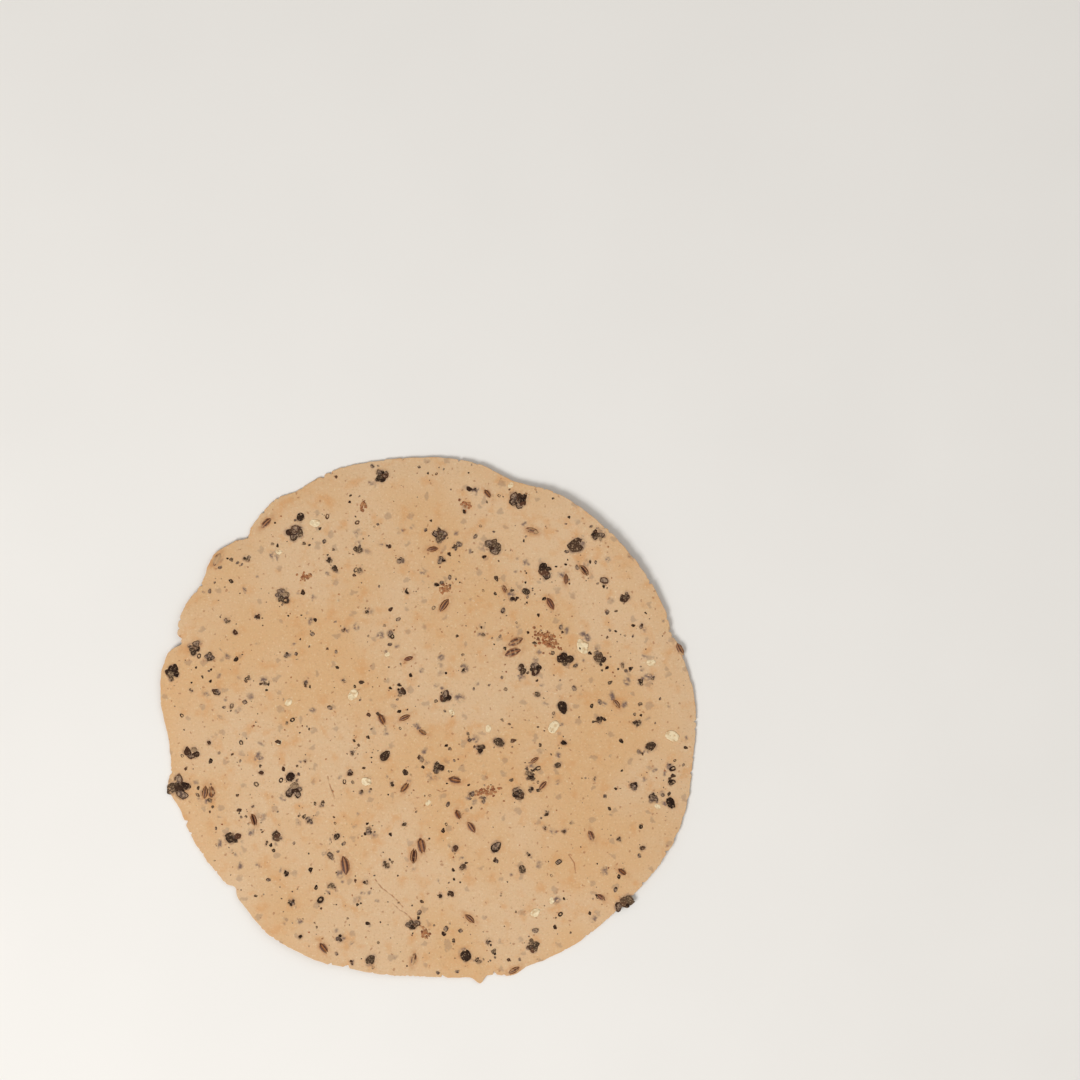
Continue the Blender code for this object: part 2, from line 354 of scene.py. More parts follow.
@dataclass(frozen=True)
class Sprinkling:
    """Where the pieces lie: the ones that catch the eye as listed, the rest by a seeded rule."""

    disc: Disc
    seed: int = 5
    crush_seed: int = 1000
    clearance: float = 0.5 * MM
    tallest: float = 1.1 * MM
    sink: float = 0.12 * MM
    dough_under: float = 0.1 * MM
    flock_reach: float = 1.6 * MM
    rim_clear: float = 0.3 * MM
    # For pieces above a length, into how many fragments they may be crushed
    crushing: tuple = ((3.6 * MM, (1, 1, 4, 5, 6, 7, 8)), (2.2 * MM, (1, 3, 4, 5, 6)), (0, (1, 1, 2, 3)))
    # From how many fragments on, how far out they lie, and how long they are
    spread: tuple = ((5, 0.33, 0.55), (3, 0.28, 0.6), (2, 0.24, 0.64))
    heart_bit: float = 0.6
    # How uneven the fragments are: their turns in radians, distances and lengths
    crush_turn: float = 0.4
    crush_reach: tuple[float, float] = (0.65, 1.15)
    crush_length: tuple[float, float] = (0.65, 1.4)
    headroom: float = 1.1
    # No piece rises above this, so that the model stays within the solid's box
    ceiling: float = 3.15 * MM
    # How much a tilted piece's end may rise, as a share of its length
    tilt_room: float = 0.05
    under_height: float = 0.2
    under_gap: float = 0.01 * MM
    # What the solid has too, with lengths in mm
    strewn: tuple = (
        (Kind.CUMIN, Batch(14, 4.4, 3.2)),
        (Kind.CHIP, Batch(10, 3.0, 2.0)),
        (Kind.PEPPER, Batch(96, 3.5, 1.5)),
    )

    def chosen(self) -> list[Piece]:
        """The pieces whose places are listed in the tables.

        Returns:
            The pieces, in the order of their tables.
        """
        rows = ((Kind.PEPPER, PEPPER_CHUNKS), (Kind.CUMIN, CUMIN_SEEDS), (Kind.CHIP, PALE_CHIPS))
        return [
            Piece(kind, x * MM, y * MM, length * MM, heading)
            for kind, places in rows
            for x, y, length, heading in places
        ]

    def find_room(self, rng: random.Random, pieces: list[Piece], kind: Kind, length: float) -> Piece:
        """Finds a random place that is clear of the other pieces and of the rim.

        Args:
            rng: the source of random numbers.
            pieces: the pieces that are there already.
            kind: the new piece's kind.
            length: its length.

        Returns:
            The new piece.
        """
        while True:
            reach = (self.disc.radius - length) * math.sqrt(rng.random())
            turn = rng.uniform(0, math.tau)
            heading = rng.uniform(-90, 90)
            x, y = reach * math.cos(turn), reach * math.sin(turn)
            gaps = (math.hypot(x - p.x, y - p.y) - (length + p.length) / 2 for p in pieces)
            if min(gaps) > self.clearance:
                return Piece(kind, x, y, length, heading)

    def pieces(self) -> list[Piece]:
        """The pieces that the solid has too, of which the small outnumber the large.

        Returns:
            The chosen pieces, then the strewn ones.
        """
        rng = random.Random(self.seed)
        pieces = self.chosen()
        for kind, batch in self.strewn:
            for step in range(batch.count):
                pieces.append(self.find_room(rng, pieces, kind, batch.length(step) * MM))
        return pieces

    def fine(self, batch: Batch) -> list[Piece]:
        """Strews what is too fine for the solid.

        Args:
            batch: the bits to strew, with lengths in metres.

        Returns:
            The bits that fall clear of the rim, as pieces of pepper.
        """
        rng = random.Random(batch.seed)
        hosts = self.pieces()
        bits = []
        for step in range(batch.count):
            length = batch.length(step)
            turn = rng.uniform(0, math.tau)
            reach = self.disc.radius * math.sqrt(rng.random())
            x, y = reach * math.cos(turn), reach * math.sin(turn)
            if rng.random() < batch.flock:
                host = rng.choice(hosts)
                away = host.length / 2 + rng.expovariate(1 / self.flock_reach)
                x, y = host.x + away * math.cos(turn), host.y + away * math.sin(turn)
            if at_spot(self.disc.inward, x, y) > length / 2 + self.rim_clear:
                bits.append(Piece(Kind.PEPPER, x, y, length, rng.uniform(-90, 90)))
        return bits

    def crushed_into(self, piece: Piece, number: int) -> list[Piece]:
        """Crushes one piece of pepper into fragments that fill its oval.

        Args:
            piece: the piece.
            number: its number, which seeds its fragments.

        Returns:
            The fragments, or the piece alone where it stayed whole.
        """
        rng = random.Random(self.crush_seed + number)
        lots = next(lots for shortest, lots in self.crushing if piece.length > shortest)
        count = rng.choice(lots)
        if count == 1:
            return [piece]
        fewest, reach, size = next(row for row in self.spread if count >= row[0])
        start = rng.uniform(-0.5, 0.5)
        bits = []
        if fewest == self.spread[0][0]:
            bits.append(Piece(piece.kind, piece.x, piece.y, self.heart_bit * piece.length, start))
        ring = count - len(bits)
        for step in range(ring):
            angle = start + math.tau * step / ring + rng.uniform(-self.crush_turn, self.crush_turn)
            away = reach * rng.uniform(*self.crush_reach) * piece.length
            along, across = away * math.cos(angle), away * piece.kind.wide * math.sin(angle)
            x, y = step_from(piece.x, piece.y, along, across, piece.heading)
            length = size * rng.uniform(*self.crush_length) * piece.length
            bits.append(Piece(piece.kind, x, y, length, rng.uniform(-90, 90)))
        return bits

    def fragments(self) -> list[Piece]:
        """All the pepper of the solid, crushed as it lies."""
        peppers = [piece for piece in self.pieces() if piece.kind is Kind.PEPPER]
        return [bit for number, piece in enumerate(peppers) for bit in self.crushed_into(piece, number)]

    def height(self, piece: Piece) -> float:
        """How high a piece is, with dough left under it."""
        room = 2 * (at_spot(self.disc.thickness, piece.x, piece.y) - self.sink - self.dough_under)
        return min(piece.kind.high * piece.length, self.tallest, room / self.headroom)

    def laid(self, piece: Piece, height: float, level: float) -> Matrix:
        """The place and size of a master that is one unit long, wide and high.

        Args:
            piece: the piece to place.
            height: its height.
            level: how high its middle lies.

        Returns:
            The matrix that takes the master to its place.
        """
        size = Matrix.Diagonal((piece.length, piece.kind.wide * piece.length, height, 1))
        tilt = Vector((0, 0, 1)).rotation_difference(self.disc.upward(piece.x, piece.y))
        turn = Matrix.Rotation(math.radians(piece.heading), 4, "Z")
        place = Matrix.Translation((piece.x, piece.y, level))
        return place @ tilt.to_matrix().to_4x4() @ turn @ size

    def seat(self, piece: Piece, lift: float = 0.0) -> Matrix:
        """The place of a master that lies in the upper face, as in the solid.

        Args:
            piece: the piece to place.
            lift: how much higher it lies than the solid's rule says.

        Returns:
            The matrix that takes the master to its place.
        """
        height = self.height(piece)
        level = at_spot(self.disc.top, piece.x, piece.y) - self.sink + lift
        highest = self.ceiling - 0.5 * height - self.tilt_room * piece.length
        return self.laid(piece, height, min(level, highest))

    def seat_under(self, piece: Piece) -> Matrix:
        """The place of a master that is pressed flush into the underside.

        Args:
            piece: the piece to place.

        Returns:
            The matrix that takes the master to its place.
        """
        height = self.under_height * piece.length
        low = at_spot(self.disc.underside, piece.x, piece.y)
        return self.laid(piece, height, low + 0.5 * height + self.under_gap)


def deselect_all() -> None:
    """Deselects every object."""
    bpy.ops.object.select_all(action="DESELECT")


def make_active(obj: bpy.types.Object) -> None:
    """Selects one object alone and makes it the active one.

    Args:
        obj: the object.
    """
    deselect_all()
    obj.select_set(True)
    bpy.context.view_layer.objects.active = obj


@contextmanager
def edit_mode(obj: bpy.types.Object) -> Iterator[None]:
    """Opens an object in edit mode with all of it selected, and closes it afterwards.

    Args:
        obj: the object.

    Yields:
        Nothing, while the object is being edited.
    """
    make_active(obj)
    bpy.ops.object.mode_set(mode="EDIT")
    bpy.ops.mesh.select_mode(type="FACE")
    bpy.ops.mesh.select_all(action="SELECT")
    yield
    bpy.ops.object.mode_set(mode="OBJECT")


def select_faces(obj: bpy.types.Object, chosen: Rule) -> None:
    """Selects faces in edit mode, and nothing else.

    Args:
        obj: the object that is being edited.
        chosen: from the faces' centres and normals, says which to select.
    """
    bpy.ops.mesh.select_all(action="DESELECT")
    shape = bmesh.from_edit_mesh(obj.data)
    shape.faces.ensure_lookup_table()
    centres = np.array([face.calc_center_median() for face in shape.faces])
    normals = np.array([face.normal for face in shape.faces])
    for index in np.flatnonzero(chosen(centres, normals)):
        shape.faces[index].select_set(True)
    bmesh.update_edit_mesh(obj.data)


def select_vertices(obj: bpy.types.Object, chosen: Callable[[np.ndarray], np.ndarray]) -> None:
    """Selects vertices in edit mode, and nothing else.

    Args:
        obj: the object that is being edited.
        chosen: from the vertices' places, says which to select.
    """
    bpy.ops.mesh.select_mode(type="VERT")
    bpy.ops.mesh.select_all(action="DESELECT")
    shape = bmesh.from_edit_mesh(obj.data)
    shape.verts.ensure_lookup_table()
    for index in np.flatnonzero(chosen(np.array([vertex.co for vertex in shape.verts]))):
        shape.verts[index].select_set(True)
    shape.select_flush(True)
    bmesh.update_edit_mesh(obj.data)


def apply_modifier(obj: bpy.types.Object, kind: str, **settings: object) -> None:
    """Adds a modifier with its settings and applies it.

    Args:
        obj: the object.
        kind: the modifier's type.
        settings: its options by name.
    """
    make_active(obj)
    modifier = obj.modifiers.new(kind.lower(), kind)
    for name, value in settings.items():
        setattr(modifier, name, value)
    bpy.ops.object.modifier_apply(modifier=modifier.name)


def points_of(obj: bpy.types.Object) -> np.ndarray:
    """The places of a mesh's vertices, a row for each.

    Args:
        obj: the object.

    Returns:
        x, y and z of each vertex.
    """
    places = np.empty(len(obj.data.vertices) * 3)
    obj.data.vertices.foreach_get("co", places)
    return places.reshape(-1, 3)


def move_points(obj: bpy.types.Object, places: np.ndarray) -> None:
    """Puts a mesh's vertices at new places."""
    obj.data.vertices.foreach_set("co", places.ravel())
    obj.data.update()


def paint_points(obj: bpy.types.Object, name: str, values: np.ndarray) -> None:
    """Writes one number for each vertex, which a material reads by name."""
    layer = obj.data.attributes.new(name, "FLOAT", "POINT")
    layer.data.foreach_set("value", np.asarray(values, dtype=np.float32))


def fill_unit_box(obj: bpy.types.Object) -> None:
    """Stretches a master to be one unit long, wide and high, and centres it.

    Args:
        obj: the master.
    """
    places = points_of(obj)
    low, high = places.min(axis=0), places.max(axis=0)
    move_points(obj, (places - (low + high) / 2) / (high - low))


def join_copies(
    name: str, masters: Sequence[bpy.types.Object], copies: Sequence[Copy], shift: Vector, crease: float
) -> bpy.types.Object:
    """Copies masters to their places and joins the copies into one object at the origin.

    Args:
        name: the new object's name.
        masters: all the masters, which are removed afterwards.
        copies: the copies to make.
        shift: moves the whole from the disc's own middle to the frame's.
        crease: edges sharper than this many degrees stay sharp.

    Returns:
        The joined object, with the veil and the shade of each copy as marks on its points.
    """
    deselect_all()
    for master, place, veil, shade in copies:
        copy = master.copy()
        copy.data = master.data.copy()
        copy.data.transform(Matrix.Translation(shift) @ place)
        paint_points(copy, "veil", np.full(len(copy.data.vertices), veil))
        paint_points(copy, "shade", np.full(len(copy.data.vertices), shade))
        bpy.context.scene.collection.objects.link(copy)
        copy.select_set(True)
        bpy.context.view_layer.objects.active = copy
    bpy.ops.object.join()
    joined = bpy.context.object
    joined.name = joined.data.name = name
    bpy.ops.object.shade_smooth_by_angle(angle=math.radians(crease))
    for master in masters:
        bpy.data.objects.remove(master)
    return joined


def linear(code: str) -> tuple[float, float, float, float]:
    """Turns an sRGB hex colour into the linear colour that a shader takes.

    Args:
        code: the colour, such as #D2AF87.

    Returns:
        Red, green, blue and full cover.
    """
    shares = [int(code[i:i + 2], 16) / 255 for i in (1, 3, 5)]
    red, green, blue = (s / 12.92 if s <= 0.04045 else ((s + 0.055) / 1.055) ** 2.4 for s in shares)
    return red, green, blue, 1.0


def add(
    tree: bpy.types.NodeTree, kind: str, inputs: dict | None = None, **settings: object
) -> bpy.types.Node:
    """Adds a shader node with its settings, values and links.

    Args:
        tree: the material's node tree.
        kind: the node's type, without its ShaderNode.
        inputs: for an input's name or number, the output that feeds it, or its value.
        settings: the node's own options.

    Returns:
        The new node.
    """
    node = tree.nodes.new("ShaderNode" + kind)
    for name, value in settings.items():
        setattr(node, name, value)
    for socket, value in (inputs or {}).items():
        if isinstance(value, Socket):
            tree.links.new(value, node.inputs[socket])
        else:
            node.inputs[socket].default_value = value
    return node


class Paint:
    """The nodes of one material: what a finish lays down, layer over layer."""

    def __init__(self, material: bpy.types.Material) -> None:
        """Starts on a new material that has its Principled BSDF."""
        self.tree = material.node_tree
        self.shader = self.tree.nodes["Principled BSDF"]
        self.where = add(self.tree, "TexCoord").outputs["Object"]

    def clouds(self, size: float, detail: float = 2.0) -> Socket:
        """Noise whose lumps have one size, in metres."""
        inputs = {"Vector": self.where, "Scale": 1 / size, "Detail": detail}
        return add(self.tree, "TexNoise", inputs).outputs["Fac"]

    def mark(self, name: str) -> Socket:
        """A mark that the model carries on its points."""
        return add(self.tree, "Attribute", attribute_name=name).outputs["Fac"]

    def sums(self, first: Socket, second: Socket | float) -> Socket:
        """Adds up two values."""
        return add(self.tree, "Math", {0: first, 1: second}, operation="ADD").outputs[0]

    def times(self, first: Socket, second: Socket | float) -> Socket:
        """Multiplies two values."""
        return add(self.tree, "Math", {0: first, 1: second}, operation="MULTIPLY").outputs[0]

    def stretch(self, value: Socket, low: float, high: float, top: float = 1.0) -> Socket:
        """Takes values from low to high to the range 0 to top, with soft ends."""
        inputs = {"Value": value, "From Min": low, "From Max": high, "To Max": top}
        return add(self.tree, "MapRange", inputs, interpolation_type="SMOOTHSTEP").outputs["Result"]

    def blend(self, share: Socket, first: str | Socket, second: str) -> Socket:
        """Lays a second colour over a first, each a hex colour or an output.

        Args:
            share: how much of the second shows.
            first: the colour below.
            second: the one above.

        Returns:
            The blended colour.
        """
        colours = [linear(c) if isinstance(c, str) else c for c in (first, second)]
        inputs = {FACTOR: share, FIRST: colours[0], SECOND: colours[1]}
        return add(self.tree, "Mix", inputs, data_type="RGBA").outputs[MIXED]

    def specks(self, spacing: float, radius: float, kept: float, ruffle: float) -> Socket:
        """Strews uneven specks over the level face.

        Args:
            spacing: the mean distance between specks, in metres.
            radius: a speck's radius as a share of the spacing.
            kept: the share of the specks that are kept.
            ruffle: how far noise pulls them out of round, as a share of the spacing.

        Returns:
            1 within a speck and 0 outside.
        """
        inputs = {"Vector": self.where, "Scale": 3 / spacing, "Detail": 1.0}
        pull = add(self.tree, "TexNoise", inputs).outputs["Color"]
        moved = add(self.tree, "VectorMath", {0: pull, "Scale": ruffle * spacing}, operation="SCALE")
        place = add(self.tree, "VectorMath", {0: self.where, 1: moved.outputs[0]}, operation="ADD")
        inputs = {"Vector": place.outputs[0], "Scale": 1 / spacing}
        cells = add(self.tree, "TexVoronoi", inputs, voronoi_dimensions="2D")
        lot = add(self.tree, "SeparateColor", {0: cells.outputs["Color"]}).outputs[0]
        drawn = add(self.tree, "Math", {0: lot, 1: kept}, operation="LESS_THAN").outputs[0]
        return self.times(self.stretch(cells.outputs["Distance"], radius, 0.5 * radius), drawn)

    def colour(self, output: Socket) -> None:
        """Gives the surface its colour."""
        self.tree.links.new(output, self.shader.inputs["Base Color"])

    def relief(self, height: Socket, depth: float) -> None:
        """Gives the surface its fine relief, as deep as given in metres."""
        bump = add(self.tree, "Bump", {"Height": height, "Distance": depth})
        self.tree.links.new(bump.outputs["Normal"], self.shader.inputs["Normal"])


@dataclass(frozen=True)
class Finish:
    """A surface, made as a material once."""

    name: str = "finish"
    roughness: float = 0.6
    ior: float = 1.5

    def material(self) -> bpy.types.Material:
        """The material of this finish, made on its first use.

        Returns:
            The material.
        """
        found = bpy.data.materials.get(self.name)
        if found:
            return found
        made = bpy.data.materials.new(self.name)
        made.use_nodes = True
        paint = Paint(made)
        paint.shader.inputs["Roughness"].default_value = self.roughness
        paint.shader.inputs["IOR"].default_value = self.ior
        self.lay(paint)
        return made

    def lay(self, paint: Paint) -> None:
        """Lays down the colour and the grain of the finish."""
        raise NotImplementedError


def new_part(name: str, *finishes: Finish) -> bpy.types.Object:
    """Takes up the object that was just added.

    Args:
        name: its name.
        finishes: its finishes, in the order of its slots.

    Returns:
        The object.
    """
    obj = bpy.context.object
    obj.name = name
    for finish in finishes:
        obj.data.materials.append(finish.material())
    return obj


@dataclass(frozen=True)
class UradDough(Finish):
    """Raw papad: urad dal flour kneaded with salt and oil, rolled out and dried in the sun.

    To the eye it is a matt, faintly waxy tan, even from afar. Near by it drifts from cream to
    gold, has a fine floury grain, and spice shows greyly through where it lies under the skin.
    """

    name: str = "sun_dried_urad_dough"
    roughness: float = 0.62
    ior: float = 1.45
    pale: str = "#D2AF87"
    warm: str = "#D0A676"
    golden: str = "#CC965E"
    floury: str = "#DFC7A1"
    shadowed: str = "#B78D62"
    under_skin: str = "#68524A"
    oily: str = "#B07440"
    cracked: str = "#94572A"
    drift: float = 38 * MM
    mottle: float = 5 * MM
    grain: float = 0.6 * MM
    grain_depth: float = 0.03 * MM
    fleck: float = 0.8 * MM
    rusty_spacing: float = 3.9 * MM
    faint_spacing: float = 6.1 * MM
    # How light sinks in: its share, its depth, and how far red, green and blue go
    glow: float = 0.12
    glow_depth: float = 0.6 * MM
    glow_reach: tuple[float, float, float] = (1.0, 0.55, 0.3)

    def lay(self, paint: Paint) -> None:
        """Lays drift, mottle, grain, specks and the marks of spice, oil and cracks.

        Args:
            paint: the material's nodes.
        """
        grain, mottle = paint.clouds(self.grain), paint.clouds(self.mottle, 4.0)
        colour = paint.blend(paint.stretch(paint.clouds(self.drift), 0.38, 0.62), self.pale, self.warm)
        colour = paint.blend(paint.stretch(mottle, 0.5, 0.76, 0.75), colour, self.golden)
        colour = paint.blend(paint.stretch(grain, 0.56, 0.9), colour, self.floury)
        colour = paint.blend(paint.stretch(grain, 0.46, 0.1), colour, self.shadowed)
        rusty = paint.specks(self.rusty_spacing, 0.11, 0.35, 0.35)
        colour = paint.blend(paint.times(rusty, 0.55), colour, self.cracked)
        faint = paint.specks(self.faint_spacing, 0.2, 0.35, 0.5)
        colour = paint.blend(paint.times(faint, 0.3), colour, self.under_skin)
        colour = paint.blend(paint.mark("stain"), colour, self.oily)
        broken = paint.stretch(paint.clouds(self.fleck, 3.0), 0.28, 0.52)
        colour = paint.blend(paint.times(paint.mark("ghost"), broken), colour, self.under_skin)
        paint.colour(paint.blend(paint.mark("crack"), colour, self.cracked))
        paint.relief(grain, self.grain_depth)
        paint.shader.inputs["Subsurface Weight"].default_value = self.glow
        paint.shader.inputs["Subsurface Radius"].default_value = self.glow_reach
        paint.shader.inputs["Subsurface Scale"].default_value = self.glow_depth


@dataclass(frozen=True)
class PepperHull(Finish):
    """The skin of a black peppercorn: dried berry flesh, shrunk to a net of wrinkles.

    To the eye it is brown-black and dull, with paler crests that are partly rubbed and partly a painted
    highlight on the raised wrinkles, and films of dough that turn it a greyish brown.
    """

    name: str = "dried_pepper_hull"
    roughness: float = 0.75
    ior: float = 1.22
    black: str = "#150A06"
    brown: str = "#5A3826"
    # Paler colour of the raised wrinkles: partly rubbed hull, partly a painted highlight
    crest: str = "#573B28"
    film: str = "#A28566"
    clot: float = 0.45 * MM
    clot_depth: float = 0.08 * MM

    def lay(self, paint: Paint) -> None:
        """Lays the wrinkles' crests, paler partly from rubbing and partly as a painted highlight, then films
        and clots of dough over them.

        Args:
            paint: the material's nodes.
        """
        veil = paint.mark("veil")
        colour = paint.blend(paint.mark("shade"), self.black, self.brown)
        # Paler crests: partly rubbed hull, partly a painted highlight on the raised wrinkles
        colour = paint.blend(paint.times(paint.mark("crest"), 0.35), colour, self.crest)
        colour = paint.blend(paint.times(veil, 0.6), colour, self.film)
        clots = paint.clouds(self.clot)
        flour = paint.stretch(paint.sums(clots, paint.times(veil, 0.25)), 0.61, 0.69, 0.9)
        paint.colour(paint.blend(flour, colour, self.film))
        paint.relief(clots, self.clot_depth)


@dataclass(frozen=True)
class PepperHeart(Finish):
    """The inside of a peppercorn, laid open by the mortar: hard and starchy.

    To the eye it is a dull greyish brown, paler in clots and dusted with dough.
    """

    name: str = "broken_pepper_heart"
    roughness: float = 0.75
    ior: float = 1.5
    dark: str = "#513A2C"
    light: str = "#9D8064"
    clot: float = 0.7 * MM
    clot_depth: float = 0.08 * MM

    def lay(self, paint: Paint) -> None:
        """Lays crumbly clots of light and dark.

        Args:
            paint: the material's nodes.
        """
        clots = paint.clouds(self.clot, 3.0)
        paint.colour(paint.blend(paint.stretch(clots, 0.4, 0.62), self.dark, self.light))
        paint.relief(clots, self.clot_depth)


@dataclass(frozen=True)
class CuminHusk(Finish):
    """The husk of a cumin seed: a dry fruit with pale ribs and darker furrows.

    To the eye it is a warm red-brown, striped lengthwise, and paler where dough clings to it.
    """

    name: str = "ribbed_cumin_husk"
    roughness: float = 0.6
    ior: float = 1.48
    rib: str = "#8E4F27"
    pale_rib: str = "#B58150"
    furrow: str = "#4E2711"
    film: str = "#C39C70"
    fibre: float = 0.5 * MM
    fibre_depth: float = 0.05 * MM
    clot: float = 1.4 * MM

    def lay(self, paint: Paint) -> None:
        """Lays the stripes that follow the seed, then films of dough.

        Args:
            paint: the material's nodes.
        """
        fibre = paint.clouds(self.fibre)
        ribs = paint.blend(paint.mark("shade"), self.rib, self.pale_rib)
        ruffled = paint.sums(paint.mark("furrow"), paint.sums(paint.times(fibre, 0.7), -0.35))
        colour = paint.blend(paint.stretch(ruffled, 0.15, 0.6), ribs, self.furrow)
        veil = paint.mark("veil")
        flour = paint.stretch(paint.sums(paint.clouds(self.clot), paint.times(veil, 0.4)), 0.62, 0.85, 0.8)
        paint.colour(paint.blend(flour, colour, self.film))
        paint.relief(fibre, self.fibre_depth)


@dataclass(frozen=True)
class SplitDal(Finish):
    """A chip of split urad dal or pepper heart: hard, starchy and faintly waxy.

    To the eye it is cream, a little glassy at the edges and freckled with brown.
    """

    name: str = "split_dal_chip"
    roughness: float = 0.5
    ior: float = 1.5
    cream: str = "#E2CDA6"
    amber: str = "#CBAA7E"
    freckle: str = "#8C6647"
    cloud: float = 1.2 * MM
    cloud_depth: float = 0.1 * MM
    freckle_size: float = 0.55 * MM

    def lay(self, paint: Paint) -> None:
        """Lays clouds of amber and a few freckles.

        Args:
            paint: the material's nodes.
        """
        cloud = paint.clouds(self.cloud, 3.0)
        colour = paint.blend(paint.stretch(cloud, 0.45, 0.68), self.cream, self.amber)
        freckles = paint.stretch(paint.clouds(self.freckle_size, 1.0), 0.66, 0.74)
        paint.colour(paint.blend(freckles, colour, self.freckle))
        paint.relief(cloud, self.cloud_depth)


@dataclass(frozen=True)
class GroundSpice(Finish):
    """Ground spice: grains from the mortar that dough has wetted and dried on.

    To the eye each grain is one dark colour, and neighbours differ.
    """

    name: str = "ground_spice"
    roughness: float = 0.7
    ior: float = 1.45
    dark: str = "#3A2218"
    light: str = "#7A4C2B"
    film: str = "#B4946F"

    def lay(self, paint: Paint) -> None:
        """Lays one colour for each grain, and the film of dough on it."""
        colour = paint.blend(paint.mark("shade"), self.dark, self.light)
        paint.colour(paint.blend(paint.times(paint.mark("veil"), 0.7), colour, self.film))


@dataclass(frozen=True)
class PaintedBoard(Finish):
    """The studio's floor: a board painted matt off-white, which gives a quiet pale ground."""

    name: str = "matt_painted_board"
    roughness: float = 0.85
    ior: float = 1.45
    white: str = "#ECE9E4"
    grey: str = "#E7E4DF"
    roller: float = 60 * MM

    def lay(self, paint: Paint) -> None:
        """Lays the faint unevenness of rolled paint."""
        paint.colour(paint.blend(paint.clouds(self.roller), self.white, self.grey))


@dataclass
class Skin:
    """The sheet's points while it is shaped: where they lie, and what shows at each."""

    x: np.ndarray
    y: np.ndarray
    # Noise that frays lips and breaks up what shows
    patches: np.ndarray
    relief: np.ndarray
    ghost: np.ndarray
    stain: np.ndarray


@dataclass
class DoughSheet:
    """The rolled sheet of dough, with its rim, its unevenness and the dents round its spice."""

    disc: Disc
    sprinkling: Sprinkling
    seed: int = 41
    rings: int = 60
    slab: float = 1.0 * MM
    rim_round: float = 0.16 * MM
    fray_depth: float = 0.22 * MM
    fray_length: float = 0.9 * MM
    nick_depth: float = 3.0 * MM
    nick_length: float = 1.3 * MM
    fray_stretch: float = 22 * MM
    # Above what noise the edge is nicked, and how clearly torn stretches differ from whole ones
    nick_above: float = 0.32
    torn_contrast: float = 1.4
    least_torn: float = 0.2
    swell: float = 0.1 * MM
    swell_length: float = 17 * MM
    dimple: float = 0.03 * MM
    dimple_length: float = 4 * MM
    patch_length: float = 0.9 * MM
    near_piece: float = 0.7 * MM
    near_crease: float = 0.6 * MM
    groove_depth: float = 0.12 * MM
    groove_width: float = 0.13 * MM
    crack_spread: float = 1.3
    lip_height: float = 0.07 * MM
    lip_width: float = 0.6 * MM
    hollow: float = 0.2 * MM
    film: float = 0.07 * MM
    skin_under: float = 0.05 * MM
    # How much of a piece the dough laps over, from least to most
    pepper_cover: tuple[float, float] = (-1.0, 0.25)
    seed_cover: tuple[float, float] = (-0.9, -0.2)
    # How greyly pepper shows through the dough over it, and through a fringe of the lip's width
    lapped_grey: float = 0.8
    fringe_grey: tuple[float, float] = (0.25, 0.6)
    fringe_width: float = 0.45
    # Oil round pepper and round the rest: its reach in widths of the lip, and its strength
    pepper_oil: tuple[float, float] = (1.2, 0.16)
    seed_oil: tuple[float, float] = (1.8, 0.5)
    # The share of the marks that the underside lacks, and the most that each mark may show
    less_below: float = 0.6
    most_ghost: float = 0.95
    most_stain: float = 0.8
    most_crack: float = 0.85
    lumps: Batch = Batch(210, 3.6 * MM, 0.8 * MM, seed=31, flock=0.4)
    # The number of the first lump, so that lumps don't break as the larger pieces do
    first_lump: int = 500
    lump_height: float = 0.06 * MM
    lump_strength: tuple[float, float] = (0.4, 1.5)

    def build(self) -> bpy.types.Object:
        """Rolls out the sheet, raises it to its thickness and gives it relief and marks.

        Returns:
            The piece as one object, in the frame's place.
        """
        pieces = [piece for piece in self.sprinkling.pieces() if piece.kind is not Kind.PEPPER]
        pieces += self.sprinkling.fragments()
        sunken = [
            bit
            for number, lump in enumerate(self.sprinkling.fine(self.lumps))
            for bit in self.sprinkling.crushed_into(lump, self.first_lump + number)
        ]
        sheet = self.rolled_out(pieces)
        places = points_of(sheet)
        places[:, 0], places[:, 1] = self.on_disc(places)
        move_points(sheet, places)
        self.round_rim(sheet)
        places = points_of(sheet)
        self.raise_and_mark(sheet, places, pieces, sunken)
        move_points(sheet, places)
        sheet.data.transform(Matrix.Translation(self.disc.shift()))
        make_active(sheet)
        bpy.ops.object.shade_smooth_by_angle(angle=math.radians(50))
        return sheet

    def rolled_out(self, pieces: list[Piece]) -> bpy.types.Object:
        """Makes a hexagonal slab of even triangles, finer where there is more to show.

        Args:
            pieces: the pieces that stand proud of the dough.

        Returns:
            The slab, with the hexagon's corners one unit from its middle.
        """
        bpy.ops.mesh.primitive_circle_add(vertices=6, radius=1, fill_type="TRIFAN")
        sheet = new_part("dough_sheet", UradDough())
        sheet.data.name = sheet.name
        with edit_mode(sheet):
            bpy.ops.mesh.subdivide(number_cuts=self.rings - 1)
            outer = 1 - 1.5 / self.rings
            select_faces(sheet, lambda centres, _: self.hexagon_share(centres) > outer)
            bpy.ops.mesh.subdivide(number_cuts=1)
            bpy.ops.mesh.select_all(action="SELECT")
            bpy.ops.mesh.extrude_region_move(TRANSFORM_OT_translate={"value": (0, 0, self.slab)})
            bpy.ops.mesh.subdivide(number_cuts=1)
            select_faces(sheet, lambda centres, _: self.upper(centres) & self.by_pieces(centres, pieces))
            bpy.ops.mesh.subdivide(number_cuts=1)
            for reach in (2 * self.near_crease, self.near_crease):
                select_faces(sheet, lambda centres, _: self.upper(centres) & self.by_creases(centres, reach))
                bpy.ops.mesh.subdivide(number_cuts=1)
            bpy.ops.mesh.select_all(action="SELECT")
            bpy.ops.mesh.quads_convert_to_tris()
            bpy.ops.mesh.normals_make_consistent(inside=False)
        return sheet

